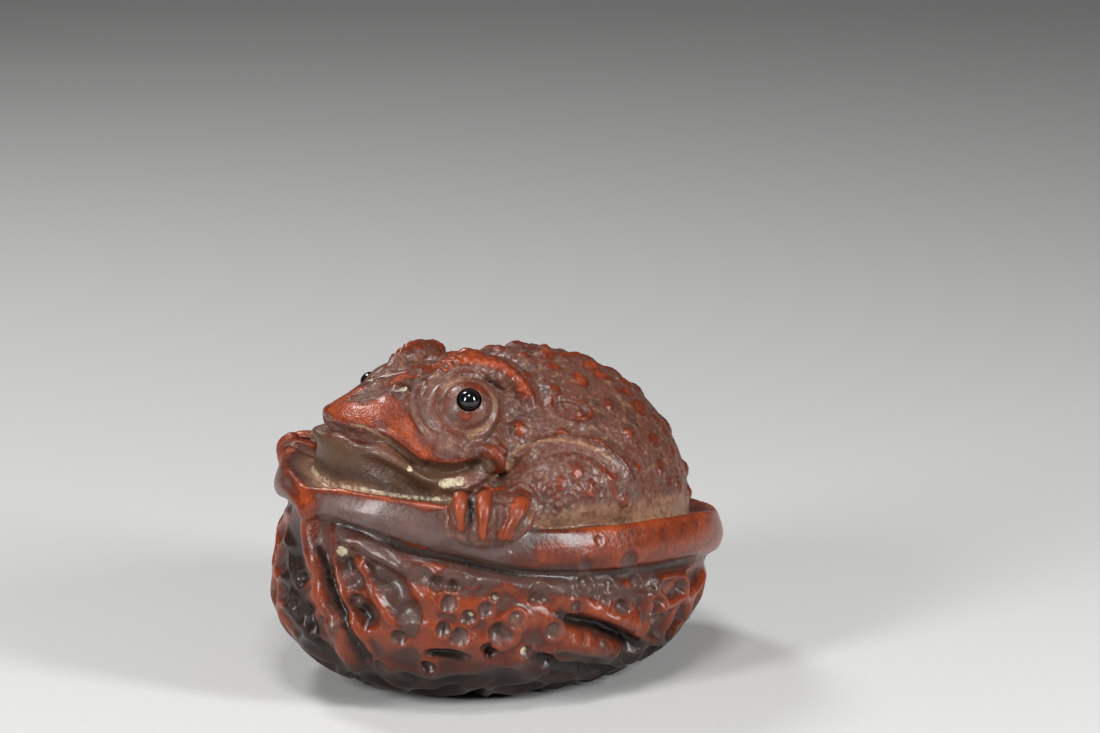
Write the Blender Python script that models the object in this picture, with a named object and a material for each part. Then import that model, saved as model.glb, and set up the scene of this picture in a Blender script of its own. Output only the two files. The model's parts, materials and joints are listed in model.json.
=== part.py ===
"""A tea pet: a toad crouched in half a walnut shell, fired in one piece of clay, with black glass eyes.

+X is the toad's left, -Y its nose and +Z up. The origin is the middle of the flat foot, on the table.
Forms are worked out in millimetres and scaled to metres when the objects are made.
"""

import math

import bmesh
import bpy
import numpy as np
from mathutils import Matrix, Vector
from mathutils.bvhtree import BVHTree
from mathutils.kdtree import KDTree

MM = 0.001

# driving dimensions, in millimetres
SHELL_LENGTH = 89.0
SHELL_WIDTH = 72.0
TOAD_HEIGHT = 63.5
BAND_HEIGHT = 8.9
BAND_HEIGHT_AT_TIP = 5.8
BAND_OVERHANG = 1.8
LEDGE_WIDTH = 5.0
KEEL_HEIGHT = 1.0
TAIL_SWELL = 1.0  # how far the band stands out further at the two corners of the tail
LID_RADIUS = 6.1
EYEBALL_SWELL = 0.5  # how far the eyeball stands out between its lids
BEAD_DIAMETER = 4.1
BEAD_SUNK = 1.2
BEAD_GAP = 0.25
FINGER_RADIUS = 2.1
HOLLOW_SPACING = 6.4
HOLLOW_FLATNESS = 1.35  # a hollow's width against its height
RIDGE_HEIGHT = 1.2
WALL_SWELL = 0.45  # how far the wall swells and sinks between the carving that the view shows
FOOT_TRIM = 0.3
RIGHT_EYE_DROP = 2.7  # the head leans to its right: that eye is this much lower

# how finely the clay is worked, and how many triangles are kept
VOXEL = 0.55
SOFTENING = 1.5
BODY_TRIANGLES = 11400

# the size the forms below are drawn at: they stretch to the driving dimensions
DRAWN_WIDTH = 72.0
DRAWN_LENGTH = 89.0
DRAWN_HEIGHT = 63.5
STRETCH = Vector((SHELL_WIDTH / DRAWN_WIDTH, SHELL_LENGTH / DRAWN_LENGTH, TOAD_HEIGHT / DRAWN_HEIGHT))

# the shell's wall from the foot to its widest: height, share of the outline, and how much more at the front
WALL = [
    (0.0, 0.42, 0.0),
    (0.8, 0.535, 0.0),
    (2.2, 0.665, 0.01),
    (4.8, 0.785, 0.02),
    (8.0, 0.872, 0.033),
    (12.0, 0.94, 0.035),
    (16.0, 0.968, 0.042),
    (19.0, 0.9755, 0.0395),
]
# the rim's height by degrees from the front tip, the same on both sides
RIM_ANGLES = [0, 14, 30, 46, 58, 67, 78, 91, 106, 128, 144, 167, 180]
RIM_HEIGHTS = [41.7, 42.6, 42.2, 41.2, 38.3, 36.0, 35.2, 34.4, 33.6, 31.5, 28.9, 26.9, 26.3]

# the head's outline at the lips and at the crown
LIP_WIDTH, LIP_FRONT, LIP_BACK, LIP_HUB = 20.4, 18.3, 14.0, -17.0
CROWN_WIDTH, CROWN_FRONT, CROWN_BACK, CROWN_HUB = 9.4, 19.6, 12.0, -14.0
JAW_WIDTH, JAW_FRONT, JAW_BACK = 19.5, 19.9, 13.0
THROAT_HEIGHT = 35.7
LIP_FRONT_HEIGHT, LIP_SIDE_HEIGHT = 51.3, 45.9
SNOUT_HEIGHT, SNOUT_SLOPE = 55.0, 0.27
EYE_AIM = Vector((0.74, -0.54, 0.41)).normalized()

# each finger of the left hand, at its base, middle and tip: a place, and a share of FINGER_RADIUS
FINGERS = [
    ((24.6, -26.0, 41.0, 0.70), (27.2, -28.8, 41.0, 0.92), (28.7, -30.3, 38.4, 0.42)),
    ((27.4, -22.4, 40.8, 0.75), (30.2, -25.4, 39.9, 0.98), (31.6, -26.7, 36.6, 0.42)),
    ((30.4, -16.9, 39.0, 0.90), (33.0, -19.2, 38.3, 1.25), (33.9, -21.9, 35.9, 0.55)),
]

# Carving is placed as the eye sees it from the toad's front left, in millimetres to the right of
# the foot's middle and above it, on a plane square to the view.
VIEW_AZIMUTH = 54.0
VIEW_ELEVATION = 15.0
EYE_DISTANCE = 900.0
VIEW_CENTRE = Vector((0.0, 0.0, 30.0))

EYE = (-5.9, 49.5)
BEAD = (-5.5, 49.9)
NOSTRIL = [(-19.2, 51.7), (-18.5, 52.1), (-17.6, 52.5)]
EARDRUM = (13.7, 48.2)
SNOUT_RIDGE = [(-27.7, 51.0), (-23.9, 52.8), (-20.1, 53.7), (-16.3, 55.0), (-12.9, 56.0)]
EYE_WRINKLES = [
    [(-13.3, 54.8), (-14.6, 52.2), (-14.8, 49.1), (-13.5, 45.7), (-11.0, 43.1)],
    [(-14.6, 55.6), (-16.3, 52.6), (-16.5, 48.8), (-15.2, 45.0), (-12.5, 41.9)],
    [(-9.9, 42.5), (-6.5, 41.2), (-2.7, 41.7), (0.0, 43.8)],
]
BROW = [(-11.8, 56.0), (-8.7, 57.7), (-4.6, 58.1), (0.0, 57.1), (3.0, 54.8), (5.1, 52.0), (6.1, 49.1)]
UNDER_BROW = [(-9.9, 55.6), (-6.8, 56.4), (-2.7, 56.4), (0.4, 55.0), (2.3, 52.8), (3.4, 49.9)]
BEHIND_BROW = [(0.4, 59.0), (4.2, 56.7), (7.0, 53.9), (8.2, 50.5), (8.3, 47.6)]
BROW_CELLS = [
    (-9.7, 56.2), (-8.3, 56.9), (-6.6, 57.5), (-4.7, 57.3), (-2.8, 57.1), (-0.8, 56.4), (0.9, 55.4),
    (2.5, 54.1), (4.0, 52.6), (4.9, 50.9), (-0.9, 54.5), (1.1, 53.1), (2.7, 51.2),
]
MOUTH_CORNER = [(-15.5, 38.0), (-13.0, 36.9), (-10.0, 36.2), (-7.0, 36.4), (-4.5, 37.3), (-2.8, 37.9)]
LOWER_LIP = [
    (-28.0, 40.4), (-26.0, 40.3), (-23.0, 39.9), (-20.5, 38.7), (-17.6, 37.0), (-14.4, 35.0),
    (-11.6, 33.5),
]
LIP_ROUND_CORNER = [(-11.6, 33.5), (-7.6, 33.2), (-4.4, 34.2), (-2.2, 36.0), (-1.4, 38.0)]
UNDER_LOWER_LIP = [(-26.0, 38.0), (-22.8, 37.2), (-19.6, 35.9), (-16.8, 34.0), (-13.8, 32.2), (-9.0, 31.6)]
LOBE = [(-6.1, 39.2), (-4.8, 40.2), (-2.8, 40.6), (-0.6, 39.7), (0.6, 37.8), (0.3, 35.8)]
BEHIND_LOBE = [(-3.0, 42.1), (-0.4, 41.6), (1.5, 39.3), (2.3, 36.8)]
ARM_FOLD = [
    (2.7, 39.7), (4.7, 41.0), (8.0, 42.1), (12.1, 42.5), (16.7, 41.9), (20.5, 40.2), (23.5, 37.2),
    (25.2, 33.6), (25.6, 30.6),
]
INNER_FOLD = [(7.6, 38.9), (11.0, 40.2), (15.2, 40.2), (18.6, 38.9), (20.9, 36.6), (22.0, 34.0)]
ARMPIT = [(-0.6, 34.9), (1.2, 37.2), (2.7, 39.7)]
# each claw from its root to its tip, and its half width
CLAWS = [
    ([(-7.2, 31.4), (-7.2, 28.5), (-7.1, 25.4)], 1.45),
    ([(-2.6, 31.6), (-2.8, 27.8), (-3.0, 23.7)], 1.6),
    ([(4.3, 31.2), (3.2, 28.0), (1.0, 23.7)], 2.1),
]
BETWEEN_CLAWS = [
    [(-9.2, 31.0), (-8.9, 28.2), (-8.0, 25.2)],
    [(-5.3, 31.6), (-5.1, 28.5), (-4.9, 24.8)],
    [(-0.6, 31.4), (-0.4, 28.2), (-0.9, 23.9)],
    [(6.6, 30.4), (5.3, 26.9), (2.9, 23.6)],
]
ELBOW = [(6.9, 34.7), (7.5, 33.0), (8.6, 31.5), (9.5, 30.2)]
# warts of the back: right, up, radius and height
WARTS = [
    (4.4, 57.9, 2.4, 0.9), (8.9, 58.3, 2.6, 1.1), (12.0, 57.7, 2.2, 0.8), (17.5, 56.0, 2.8, 1.1),
    (10.2, 55.8, 2.6, 0.8), (15.0, 53.9, 2.4, 0.8), (20.7, 53.7, 2.3, 0.7), (23.1, 51.0, 2.5, 0.7),
    (26.9, 48.6, 2.4, 0.7), (29.8, 45.7, 2.3, 0.7), (21.1, 49.1, 2.0, 0.5), (24.7, 43.5, 2.1, 0.5),
    (29.8, 41.9, 2.0, 0.5), (33.0, 39.7, 2.0, 0.5), (3.6, 44.6, 2.0, 0.8), (30.7, 35.9, 1.8, 0.5),
    (14.6, 36.2, 2.4, 0.5), (17.5, 32.4, 2.2, 0.5), (11.8, 34.0, 2.0, 0.5),
]

WART_SPACING = 5.2
WARTS_HUB = (0.0, 6.0, 30.0)

# the shell: lines of its carving
SEAM_RIDGE = [
    (-36.4, 31.0), (-36.0, 27.0), (-35.8, 23.4), (-34.9, 19.5), (-33.4, 14.6), (-31.9, 9.5),
    (-29.6, 3.6), (-27.0, -1.4),
]
SEAM = [
    (-33.6, 22.6), (-32.6, 19.0), (-31.7, 15.0), (-30.4, 11.4), (-29.0, 8.3), (-27.8, 5.1),
    (-25.8, 1.5), (-24.1, -0.9),
]
BESIDE_SEAM = [(-31.7, 18.0), (-30.0, 13.5), (-28.7, 11.0), (-26.8, 7.4), (-24.9, 4.0), (-23.7, 0.5)]
FRONT_VALLEY = [(-30.0, 21.6), (-28.6, 18.0), (-27.2, 14.4), (-26.6, 11.0), (-23.9, 6.0)]
FRONT_RIDGE = [
    (-27.3, 20.2), (-25.6, 18.4), (-24.4, 16.0), (-23.4, 13.1), (-22.0, 10.4), (-20.0, 8.3),
    (-17.8, 6.8), (-16.7, 5.1),
]
BAND_FOLD = [
    (-32.1, 26.4), (-28.7, 23.5), (-26.4, 22.8), (-23.9, 20.9), (-21.5, 20.2), (-19.1, 18.4),
    (-16.7, 17.1),
]
UNDER_FOLD = [(-29.6, 21.9), (-26.4, 20.7), (-23.9, 18.8), (-21.0, 17.8), (-18.6, 15.9)]
FRONT_HOLLOW = [(-22.4, 18.2), (-20.0, 14.0), (-18.0, 9.6), (-16.6, 7.0)]
BAND_GROOVE = [
    (-31.7, 26.9), (-27.8, 25.7), (-23.9, 24.5), (-20.3, 23.1), (-17.1, 21.6), (-13.0, 20.2),
    (-7.2, 19.1), (0.4, 17.6), (9.9, 16.6), (19.4, 16.4), (28.8, 17.3), (37.4, 19.2),
]
SHOULDER = [(-14.0, 17.4), (-7.0, 16.2), (0.4, 15.0), (7.0, 14.2), (14.0, 14.4)]
LONG_SLOT = [(11.5, 9.2), (14.2, 7.9), (17.5, 7.2), (20.6, 6.2), (24.0, 4.4), (27.0, 3.2)]
LOGS = [
    [(11.4, 4.4), (14.0, 3.6), (17.0, 3.0), (20.6, 2.6), (23.4, 2.2)],
    [(20.4, 0.4), (24.0, 1.4), (28.0, 3.6), (31.4, 5.8), (33.6, 7.4)],
    [(19.0, 8.8), (23.0, 7.6), (26.5, 8.0), (28.5, 11.0), (30.0, 14.0)],
]
HOLLOW_RIM = [(-20.6, 18.6), (-18.0, 17.4), (-15.4, 15.0), (-13.4, 12.0), (-12.8, 8.6), (-14.4, 5.4)]
GULLIES = [
    [(5.4, 1.6), (7.8, 1.0), (10.0, -0.4), (13.4, -1.0), (17.4, -1.2), (20.6, -1.2)],
    [(-15.0, 2.2), (-11.5, 1.4), (-8.0, 1.0), (-4.5, 0.2)],
    [(-20.0, -1.2), (-15.0, -3.0), (-9.0, -3.6), (-3.0, -3.2)],
    [(22.4, 0.6), (25.2, 0.6), (28.6, 1.8), (32.0, 4.2)],
    [(-36.6, 12.6), (-36.0, 8.6), (-34.4, 5.0), (-31.8, 1.4)],
    [(-2.6, 4.0), (-1.8, 2.2), (-0.6, 0.8)],
]
SHELL_BUMP = (18.0, -1.0)
# pits of the shell: right, up and radius
PITS = [
    (-11.6, 15.2, 1.7), (-8.8, 14.6, 1.4), (-9.4, 11.4, 1.8), (-5.8, 8.8, 1.6), (-2.7, 10.2, 1.7),
    (-0.7, 12.6, 1.0), (-10.5, 6.4, 1.6), (-7.5, 4.9, 2.0), (-27.1, 15.6, 2.2), (-27.0, 12.0, 1.6),
    (-37.2, 16.0, 1.6), (-18.9, 4.9, 1.7), (-30.9, 7.0, 1.5), (-38.7, 10.4, 1.3), (-29.3, 21.7, 1.7),
    (-13.2, -0.7, 1.3), (7.3, 13.1, 2.3), (16.4, 15.0, 1.7), (21.0, 14.6, 1.4), (26.1, 15.0, 1.9),
    (23.3, 10.4, 1.8), (34.4, 14.6, 1.7), (29.4, 8.7, 2.3), (3.3, 8.1, 1.8), (0.5, 5.5, 2.6),
    (10.5, 6.1, 1.9), (30.9, 4.5, 1.2), (5.1, 2.0, 1.5), (20.2, 3.5, 1.3), (-1.0, 2.1, 1.0),
    (28.8, 13.6, 1.1), (16.7, -0.9, 1.3), (37.7, 11.2, 1.2), (-31.2, 7.0, 1.5), (-22.2, -0.4, 1.6),
    (-38.8, 11.6, 1.4), (14.6, 10.6, 1.3), (20.1, 11.6, 1.2), (-13.4, -0.4, 1.5), (-5.0, 15.4, 1.2),
]


# numbers

def eased(low, high, value):
    """0 below low, 1 above high, and a smooth rise between."""
    share = np.clip((np.asarray(value, float) - low) / (high - low), 0.0, 1.0)
    return share * share * (3 - 2 * share)


def curve_through(points, steps):
    """Points of one smooth curve (Catmull-Rom) through those given."""
    given = np.asarray(points, float)
    given = np.vstack([2 * given[0] - given[1], given, 2 * given[-1] - given[-2]])
    found = []
    for i in range(1, len(given) - 2):
        before, start, end, after = given[i - 1:i + 3]
        for t in np.arange(steps) / steps:
            found.append(0.5 * (
                2 * start
                + (end - before) * t
                + (2 * before - 5 * start + 4 * end - after) * t ** 2
                + (3 * start - before - 3 * end + after) * t ** 3
            ))
    found.append(given[-2])
    return np.array(found)


def stretched(x, y, z):
    return Vector((x * STRETCH.x, y * STRETCH.y, z * STRETCH.z))


# rough forms, which the fusing below makes one

def add_ellipsoid(bm, centre, radii, heading=0.0, detail=4):
    place = Matrix.Translation(stretched(*centre)) @ Matrix.Rotation(math.radians(heading), 4, "Z")
    place = place @ Matrix.Diagonal((*stretched(*radii), 1.0))
    bmesh.ops.create_icosphere(bm, subdivisions=detail, radius=1.0, matrix=place)


def add_limb(bm, stations):
    """Balls along a smooth line, close enough to fuse into a limb. A station is a place and a radius."""
    last_place, last_radius = None, 0.0
    for x, y, z, radius in curve_through(stations, 8):
        place = stretched(x, y, z)
        if last_place is not None and (place - last_place).length < 0.22 * min(radius, last_radius):
            continue
        bmesh.ops.create_icosphere(bm, subdivisions=3, radius=radius, matrix=Matrix.Translation(place))
        last_place, last_radius = place, radius


def add_loft(bm, rings):
    """A closed form through rings that run anticlockwise seen from above, given from the bottom up."""
    rows = [[bm.verts.new(point) for point in ring] for ring in rings]
    count = len(rows[0])
    for low, high in zip(rows, rows[1:]):
        for i in range(count):
            j = (i + 1) % count
            bm.faces.new((low[i], low[j], high[j], high[i]))
    bottom = bm.verts.new(sum((v.co for v in rows[0]), Vector()) / count)
    top = bm.verts.new(sum((v.co for v in rows[-1]), Vector()) / count)
    for i in range(count):
        j = (i + 1) % count
        bm.faces.new((rows[0][j], rows[0][i], bottom))
        bm.faces.new((rows[-1][i], rows[-1][j], top))


def from_front(degrees):
    return abs((degrees + 180.0) % 360.0 - 180.0)


def rim_height(degrees):
    return float(np.interp(from_front(degrees), RIM_ANGLES, RIM_HEIGHTS)) * STRETCH.z


def band_height(degrees):
    return BAND_HEIGHT_AT_TIP + (BAND_HEIGHT - BAND_HEIGHT_AT_TIP) * float(eased(6, 38, from_front(degrees)))


def neck_height(degrees):
    """Where the band ends and the walnut's wall begins."""
    return rim_height(degrees) - band_height(degrees)


def rim_point(degrees):
    """The rim's outline: an ellipse with a low keel at the walnut's tip."""
    angle = math.radians(degrees)
    keel = KEEL_HEIGHT * math.exp(-(from_front(degrees) / 7.0) ** 2)
    return Vector((SHELL_WIDTH / 2 * math.sin(angle), -SHELL_LENGTH / 2 * math.cos(angle) - keel, 0.0))


def shell_section(degrees):
    """The shell's outside at one angle, from the foot's edge up over the band to the ledge."""
    outline = rim_point(degrees)
    reach = outline.length
    front = math.cos(math.radians(degrees))
    rim = rim_height(degrees)
    band = band_height(degrees)
    neck = neck_height(degrees)
    wall = [(share + more * front, z * STRETCH.z) for z, share, more in WALL]
    belly, belly_height = wall[-1]
    under_band = 1.0 - BAND_OVERHANG / reach
    out = TAIL_SWELL * math.exp(-((from_front(degrees) - 150) / 30.0) ** 2)
    top_of_belly = min(belly_height, neck - 1.6)
    wall[-1] = (belly, top_of_belly)
    section = wall + [
        (0.5 * (belly + under_band), top_of_belly + 0.55 * (neck - top_of_belly)),
        (under_band, neck),
        (1.0 + (out - 0.7) / reach, neck + 0.12 * band),
        (1.0 + out / reach, neck + 0.26 * band),
        (1.0 + (out + 0.4) / reach, neck + 0.42 * band),
        (1.0 + (out + 0.1) / reach, neck + 0.62 * band),
        (1.0 + (out - 0.5) / reach, rim - 1.6),
        (1.0 + (out - 1.0) / reach, rim - 0.5),
        (1.0 + (out - 1.7) / reach, rim),
        (1.0 + (out - 2.6) / reach, rim - 0.3),
        (1.0 - LEDGE_WIDTH / reach, rim - 1.6),
        (0.7, rim - 1.8),
    ]
    return [Vector((outline.x * share, outline.y * share, z)) for share, z in section]


def add_shell(bm, count=180):
    sections = [shell_section(360.0 * k / count) for k in range(count)]
    add_loft(bm, [[section[level] for section in sections] for level in range(len(sections[0]))])


def head_ring(width, front, back, hub, height, count=96):
    """A ring round the head about the point (0, hub): height is called with degrees from the front."""
    ring = []
    for k in range(count):
        turn = 2 * math.pi * k / count
        reach = front if math.cos(turn) > 0 else back
        degrees = from_front(math.degrees(turn))
        ring.append(stretched(width * math.sin(turn), hub - reach * math.cos(turn), height(degrees)))
    return ring


def lip_height(degrees):
    """The upper lip's edge: a low cusp beside the middle, then down to the mouth's corner."""
    front = LIP_FRONT_HEIGHT - 0.9 * math.exp(-((degrees - 16) / 8.0) ** 2)
    fall = 1 - float(eased(28, 58, degrees))
    return LIP_SIDE_HEIGHT + (front - LIP_SIDE_HEIGHT) * fall + 0.8 * float(eased(72, 92, degrees))


def crown_height(y):
    """The head's top line, which climbs from the snout and levels off between the brows."""
    climb = min(y + 34.7, 16.0) + 4.0 * math.tanh(max(y + 18.7, 0.0) / 8.0)
    return SNOUT_HEIGHT + SNOUT_SLOPE * climb


def add_upper_head(bm):
    """From the upper lip's edge to the crown."""
    rings = [
        head_ring(0.7 * LIP_WIDTH, 0.7 * LIP_FRONT, 0.7 * LIP_BACK, LIP_HUB, lambda d: lip_height(d) + 0.4),
        head_ring(LIP_WIDTH - 0.8, LIP_FRONT - 0.8, LIP_BACK, LIP_HUB, lambda d: lip_height(d) - 0.2),
    ]
    for climb in (0.05, 0.15, 0.3, 0.45, 0.6, 0.75, 0.88, 1.0):
        bulge = 1.6 * math.sin(math.pi * min(1.0, 1.05 * climb))
        width = LIP_WIDTH + (CROWN_WIDTH - LIP_WIDTH) * climb + bulge
        front = LIP_FRONT + (CROWN_FRONT - LIP_FRONT) * climb + 0.6 * bulge
        back = LIP_BACK + (CROWN_BACK - LIP_BACK) * climb
        hub = LIP_HUB + (CROWN_HUB - LIP_HUB) * climb

        def height(degrees, climb=climb):
            reach = CROWN_FRONT if degrees < 90 else CROWN_BACK
            crown = crown_height(CROWN_HUB - reach * math.cos(math.radians(degrees)))
            return lip_height(degrees) + (crown - lip_height(degrees)) * climb ** 0.9

        rings.append(head_ring(width, front, back, hub, height))
    inner_front = 0.72 * CROWN_FRONT

    def inner_height(degrees):
        return crown_height(CROWN_HUB - inner_front * math.cos(math.radians(degrees))) + 0.4

    rings.append(head_ring(0.5 * CROWN_WIDTH, inner_front, 0.5 * CROWN_BACK, CROWN_HUB, inner_height))
    add_loft(bm, rings)


def add_jaw(bm):
    """From the throat up under the upper lip, with the lower lip's swelling."""
    profile = [
        (0.0, 0.2), (0.15, 0.6), (0.3, 0.9), (0.42, 0.9), (0.54, 0.8), (0.65, 0.7),
        (0.75, 0.5), (0.83, 0.1), (0.9, -0.5), (0.96, -1.3), (1.02, -3.0),
    ]
    rings = []
    for climb, out in profile:
        def height(degrees, climb=climb):
            return THROAT_HEIGHT + (lip_height(degrees) + 1.0 - THROAT_HEIGHT) * climb
        rings.append(head_ring(JAW_WIDTH + out, JAW_FRONT + out, JAW_BACK, LIP_HUB, height))
    add_loft(bm, rings)


def add_side_of_toad(bm, side):
    """The eyeball, brow, arm and hand of one side: side is 1 for the left and -1 for the right."""
    add_ellipsoid(bm, (side * 11.9, -15.7, 53.7), (6.6, 6.6, 6.4))
    brow = [
        (5.6, -22.0, 57.2, 1.5), (7.6, -17.5, 59.7, 2.1), (8.6, -12.8, 60.8, 2.4),
        (10.5, -8.0, 59.6, 2.2), (13.8, -4.5, 56.4, 1.9), (16.0, -3.5, 53.0, 1.5),
    ]
    add_limb(bm, [(side * x, y, z, radius) for x, y, z, radius in brow])
    add_ellipsoid(bm, (side * 23.6, -1.0, 38.3), (9.4, 15.4, 10.8))
    add_ellipsoid(bm, (side * 25.2, -13.5, 37.3), (6.0, 9.0, 5.6))
    add_ellipsoid(bm, (side * 26.6, -21.0, 39.4), (3.6, 6.6, 2.8), heading=-28 * side)
    add_ellipsoid(bm, (side * 30.3, -24.4, 37.6), (2.2, 7.2, 4.4), heading=-28 * side)
    add_ellipsoid(bm, (side * 20.0, -15.2, 46.6), (2.6, 2.8, 2.9))
    for finger in FINGERS:
        add_limb(bm, [(side * x, y, z, share * FINGER_RADIUS) for x, y, z, share in finger])


def add_toad(bm):
    add_ellipsoid(bm, (0, 5.0, 29.2), (30.6, 33.2, 31.2), detail=5)
    add_ellipsoid(bm, (0, -6.0, 48.3), (17.5, 14.0, 12.4))
    add_upper_head(bm)
    add_jaw(bm)
    for side in (1, -1):
        add_side_of_toad(bm, side)


def evaluated_copy(obj):
    """The object's mesh as its modifiers leave it."""
    graph = bpy.context.evaluated_depsgraph_get()
    return bpy.data.meshes.new_from_object(obj.evaluated_get(graph))


def keep_largest_piece(mesh):
    """Drops any closed pocket that the fusing left inside."""
    bm = bmesh.new()
    bm.from_mesh(mesh)
    waiting = set(bm.verts)
    pieces = []
    while waiting:
        edge_of_search = [waiting.pop()]
        piece = list(edge_of_search)
        while edge_of_search:
            for edge in edge_of_search.pop().link_edges:
                for vert in edge.verts:
                    if vert in waiting:
                        waiting.remove(vert)
                        piece.append(vert)
                        edge_of_search.append(vert)
        pieces.append(piece)
    pieces.sort(key=len)
    for piece in pieces[:-1]:
        bmesh.ops.delete(bm, geom=piece, context="VERTS")
    bm.to_mesh(mesh)
    bm.free()


def fused_form():
    """The shell and the toad as one closed skin of even, small faces."""
    bm = bmesh.new()
    add_shell(bm)
    add_toad(bm)
    mesh = bpy.data.meshes.new("toad_in_walnut")
    bm.to_mesh(mesh)
    bm.free()
    obj = bpy.data.objects.new("toad_in_walnut", mesh)
    bpy.context.scene.collection.objects.link(obj)
    remesh = obj.modifiers.new("Fuse", "REMESH")
    remesh.mode = "VOXEL"
    remesh.voxel_size = VOXEL
    remesh.adaptivity = 0.0
    soften = obj.modifiers.new("Soften", "SMOOTH")
    soften.factor = 0.5
    soften.iterations = max(1, round(SOFTENING / VOXEL ** 2))
    fused = evaluated_copy(obj)
    obj.modifiers.clear()
    obj.data = fused
    keep_largest_piece(fused)
    return obj


# carving

def view_axes():
    azimuth, elevation = math.radians(VIEW_AZIMUTH), math.radians(VIEW_ELEVATION)
    right = Vector((math.cos(azimuth), math.sin(azimuth), 0.0))
    level = math.cos(elevation)
    back = Vector((math.sin(azimuth) * level, -math.cos(azimuth) * level, math.sin(elevation)))
    return right, back, right.cross(-back)


class Clay:
    """The fused form as arrays, with the tools that press into it and raise it."""

    def __init__(self, obj):
        self.mesh = obj.data
        count = len(self.mesh.vertices)
        self.places = np.empty(count * 3)
        self.mesh.vertices.foreach_get("co", self.places)
        self.places = self.places.reshape(-1, 3)
        ends = np.empty(len(self.mesh.edges) * 2, np.int64)
        self.mesh.edges.foreach_get("vertices", ends)
        self.ends = ends.reshape(-1, 2)
        normals = np.empty(count * 3)
        self.mesh.vertices.foreach_get("normal", normals)
        self.normals = self.blurred(normals.reshape(-1, 3), 6)
        self.normals /= np.linalg.norm(self.normals, axis=1)[:, None]
        faces = [tuple(face.vertices) for face in self.mesh.polygons]
        self.surface = BVHTree.FromPolygons(self.places.tolist(), faces)

    def blurred(self, values, rounds):
        """Each round moves every vertex's value half way to the mean of its neighbours'."""
        a, b = self.ends.T
        count = len(self.places)
        shared = np.bincount(a, minlength=count) + np.bincount(b, minlength=count)
        for _ in range(rounds):
            sums = [
                np.bincount(a, weights=column[b], minlength=count)
                + np.bincount(b, weights=column[a], minlength=count)
                for column in values.T
            ]
            values = 0.5 * values + 0.5 * np.stack(sums, axis=1) / shared[:, None]
        return values

    def seen(self, right, up):
        """The surface point that the view shows at this place, or the nearest one just past the outline."""
        along, back, above = view_axes()
        eye = VIEW_CENTRE + back * EYE_DISTANCE
        lift = up - VIEW_CENTRE.z * math.cos(math.radians(VIEW_ELEVATION))
        target = VIEW_CENTRE + along * right + above * lift
        start, through = stretched(*eye), stretched(*target)
        hit = self.surface.ray_cast(start, (through - start).normalized())[0]
        return np.array(hit or self.surface.find_nearest(through)[0])

    def seen_line(self, points, steps=5):
        return np.array([self.seen(right, up) for right, up in curve_through(points, steps)])

    def snapped(self, points):
        """The nearest surface point to each."""
        return np.array([self.surface.find_nearest(Vector(point))[0] for point in points])

    def near(self, line, reach):
        """The vertices within reach of a line or a point: their numbers, distance, share along and side."""
        line = np.atleast_2d(line)
        inside = ((self.places > line.min(0) - reach) & (self.places < line.max(0) + reach)).all(axis=1)
        index = np.nonzero(inside)[0]
        places, normals = self.places[index], self.normals[index]
        distance = np.linalg.norm(places - line[0], axis=1)
        share, side = np.zeros(len(index)), np.zeros(len(index))
        lengths = np.linalg.norm(np.diff(line, axis=0), axis=1)
        passed = 0.0
        for start, end, length in zip(line, line[1:], lengths):
            run = end - start
            along = np.clip((places - start) @ run / (run @ run + 1e-12), 0, 1)
            offset = places - (start + along[:, None] * run)
            away = np.linalg.norm(offset, axis=1)
            closer = away <= distance
            distance[closer] = away[closer]
            share[closer] = (passed + along[closer] * length) / lengths.sum()
            side[closer] = np.sign(np.einsum("ij,ij->i", np.cross(run, offset), normals))[closer]
            passed += length
        close = distance < reach
        return index[close], distance[close], share[close], side[close]

    def raise_by(self, index, height):
        self.places[index] += self.normals[index] * height[:, None]

    def ridge(self, line, width, height, fade=0.15):
        """A round ridge along the line, or a round groove where height is negative."""
        index, distance, share, _ = self.near(line, width)
        profile = (1 - (distance / width) ** 2) ** 2
        self.raise_by(index, height * profile * eased(0, fade, share) * eased(0, fade, 1 - share))

    def drop(self, line, width, height):
        """A teardrop that is widest near the line's start and comes to a point at its end."""
        index, distance, share, _ = self.near(line, width)
        local = width * (1 - 0.72 * eased(0.25, 1.0, share))
        dome = np.sqrt(np.clip(1 - (distance / local) ** 2, 0, 1))
        self.raise_by(index, height * dome * (1 - 0.45 * share))

    def crease(self, line, width, depth, fade=0.15):
        """A sharp groove."""
        index, distance, share, _ = self.near(line, width)
        profile = (1 - distance / width) ** 1.6
        self.raise_by(index, -depth * profile * eased(0, fade, share) * eased(0, fade, 1 - share))

    def fold(self, line, width, height, side, fade=0.2):
        """A crease with a swelling over it on one side: 1 is the left of the line seen from outside."""
        index, distance, share, found = self.near(line, width)
        away = distance / width
        swelling = height * (1 - away) ** 2 * eased(0, 0.12, away)
        drop = -0.7 * height * np.clip(1 - away / 0.4, 0, 1) ** 1.5
        profile = np.where(found * side > 0, swelling, drop)
        self.raise_by(index, profile * eased(0, fade, share) * eased(0, fade, 1 - share))

    def pit(self, centre, radius, depth, lip):
        """A dish with a raised lip."""
        index, distance, _, _ = self.near(centre, 1.9 * radius)
        away = distance / radius
        dish = -depth * np.clip(1 - away ** 2, 0, 1)
        self.raise_by(index, dish + lip * np.exp(-((away - 1.1) / 0.28) ** 2))

    def wart(self, centre, radius, height):
        index, distance, _, _ = self.near(centre, radius)
        self.raise_by(index, height * (1 - (distance / radius) ** 2) ** 1.5)

    def hoop(self, centre, radius, width, height):
        index, distance, _, _ = self.near(centre, radius + 2 * width)
        self.raise_by(index, height * np.exp(-((distance - radius) / width) ** 2))

    def finish(self):
        self.mesh.vertices.foreach_set("co", self.places.ravel())
        self.mesh.update()


MIRROR = np.array((-1.0, 1.0, 1.0))


def both_sides(points):
    """The carving of the side that the view shows, and its mirror image, which runs the other way."""
    return (points, 1), (points * MIRROR, -1)


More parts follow.
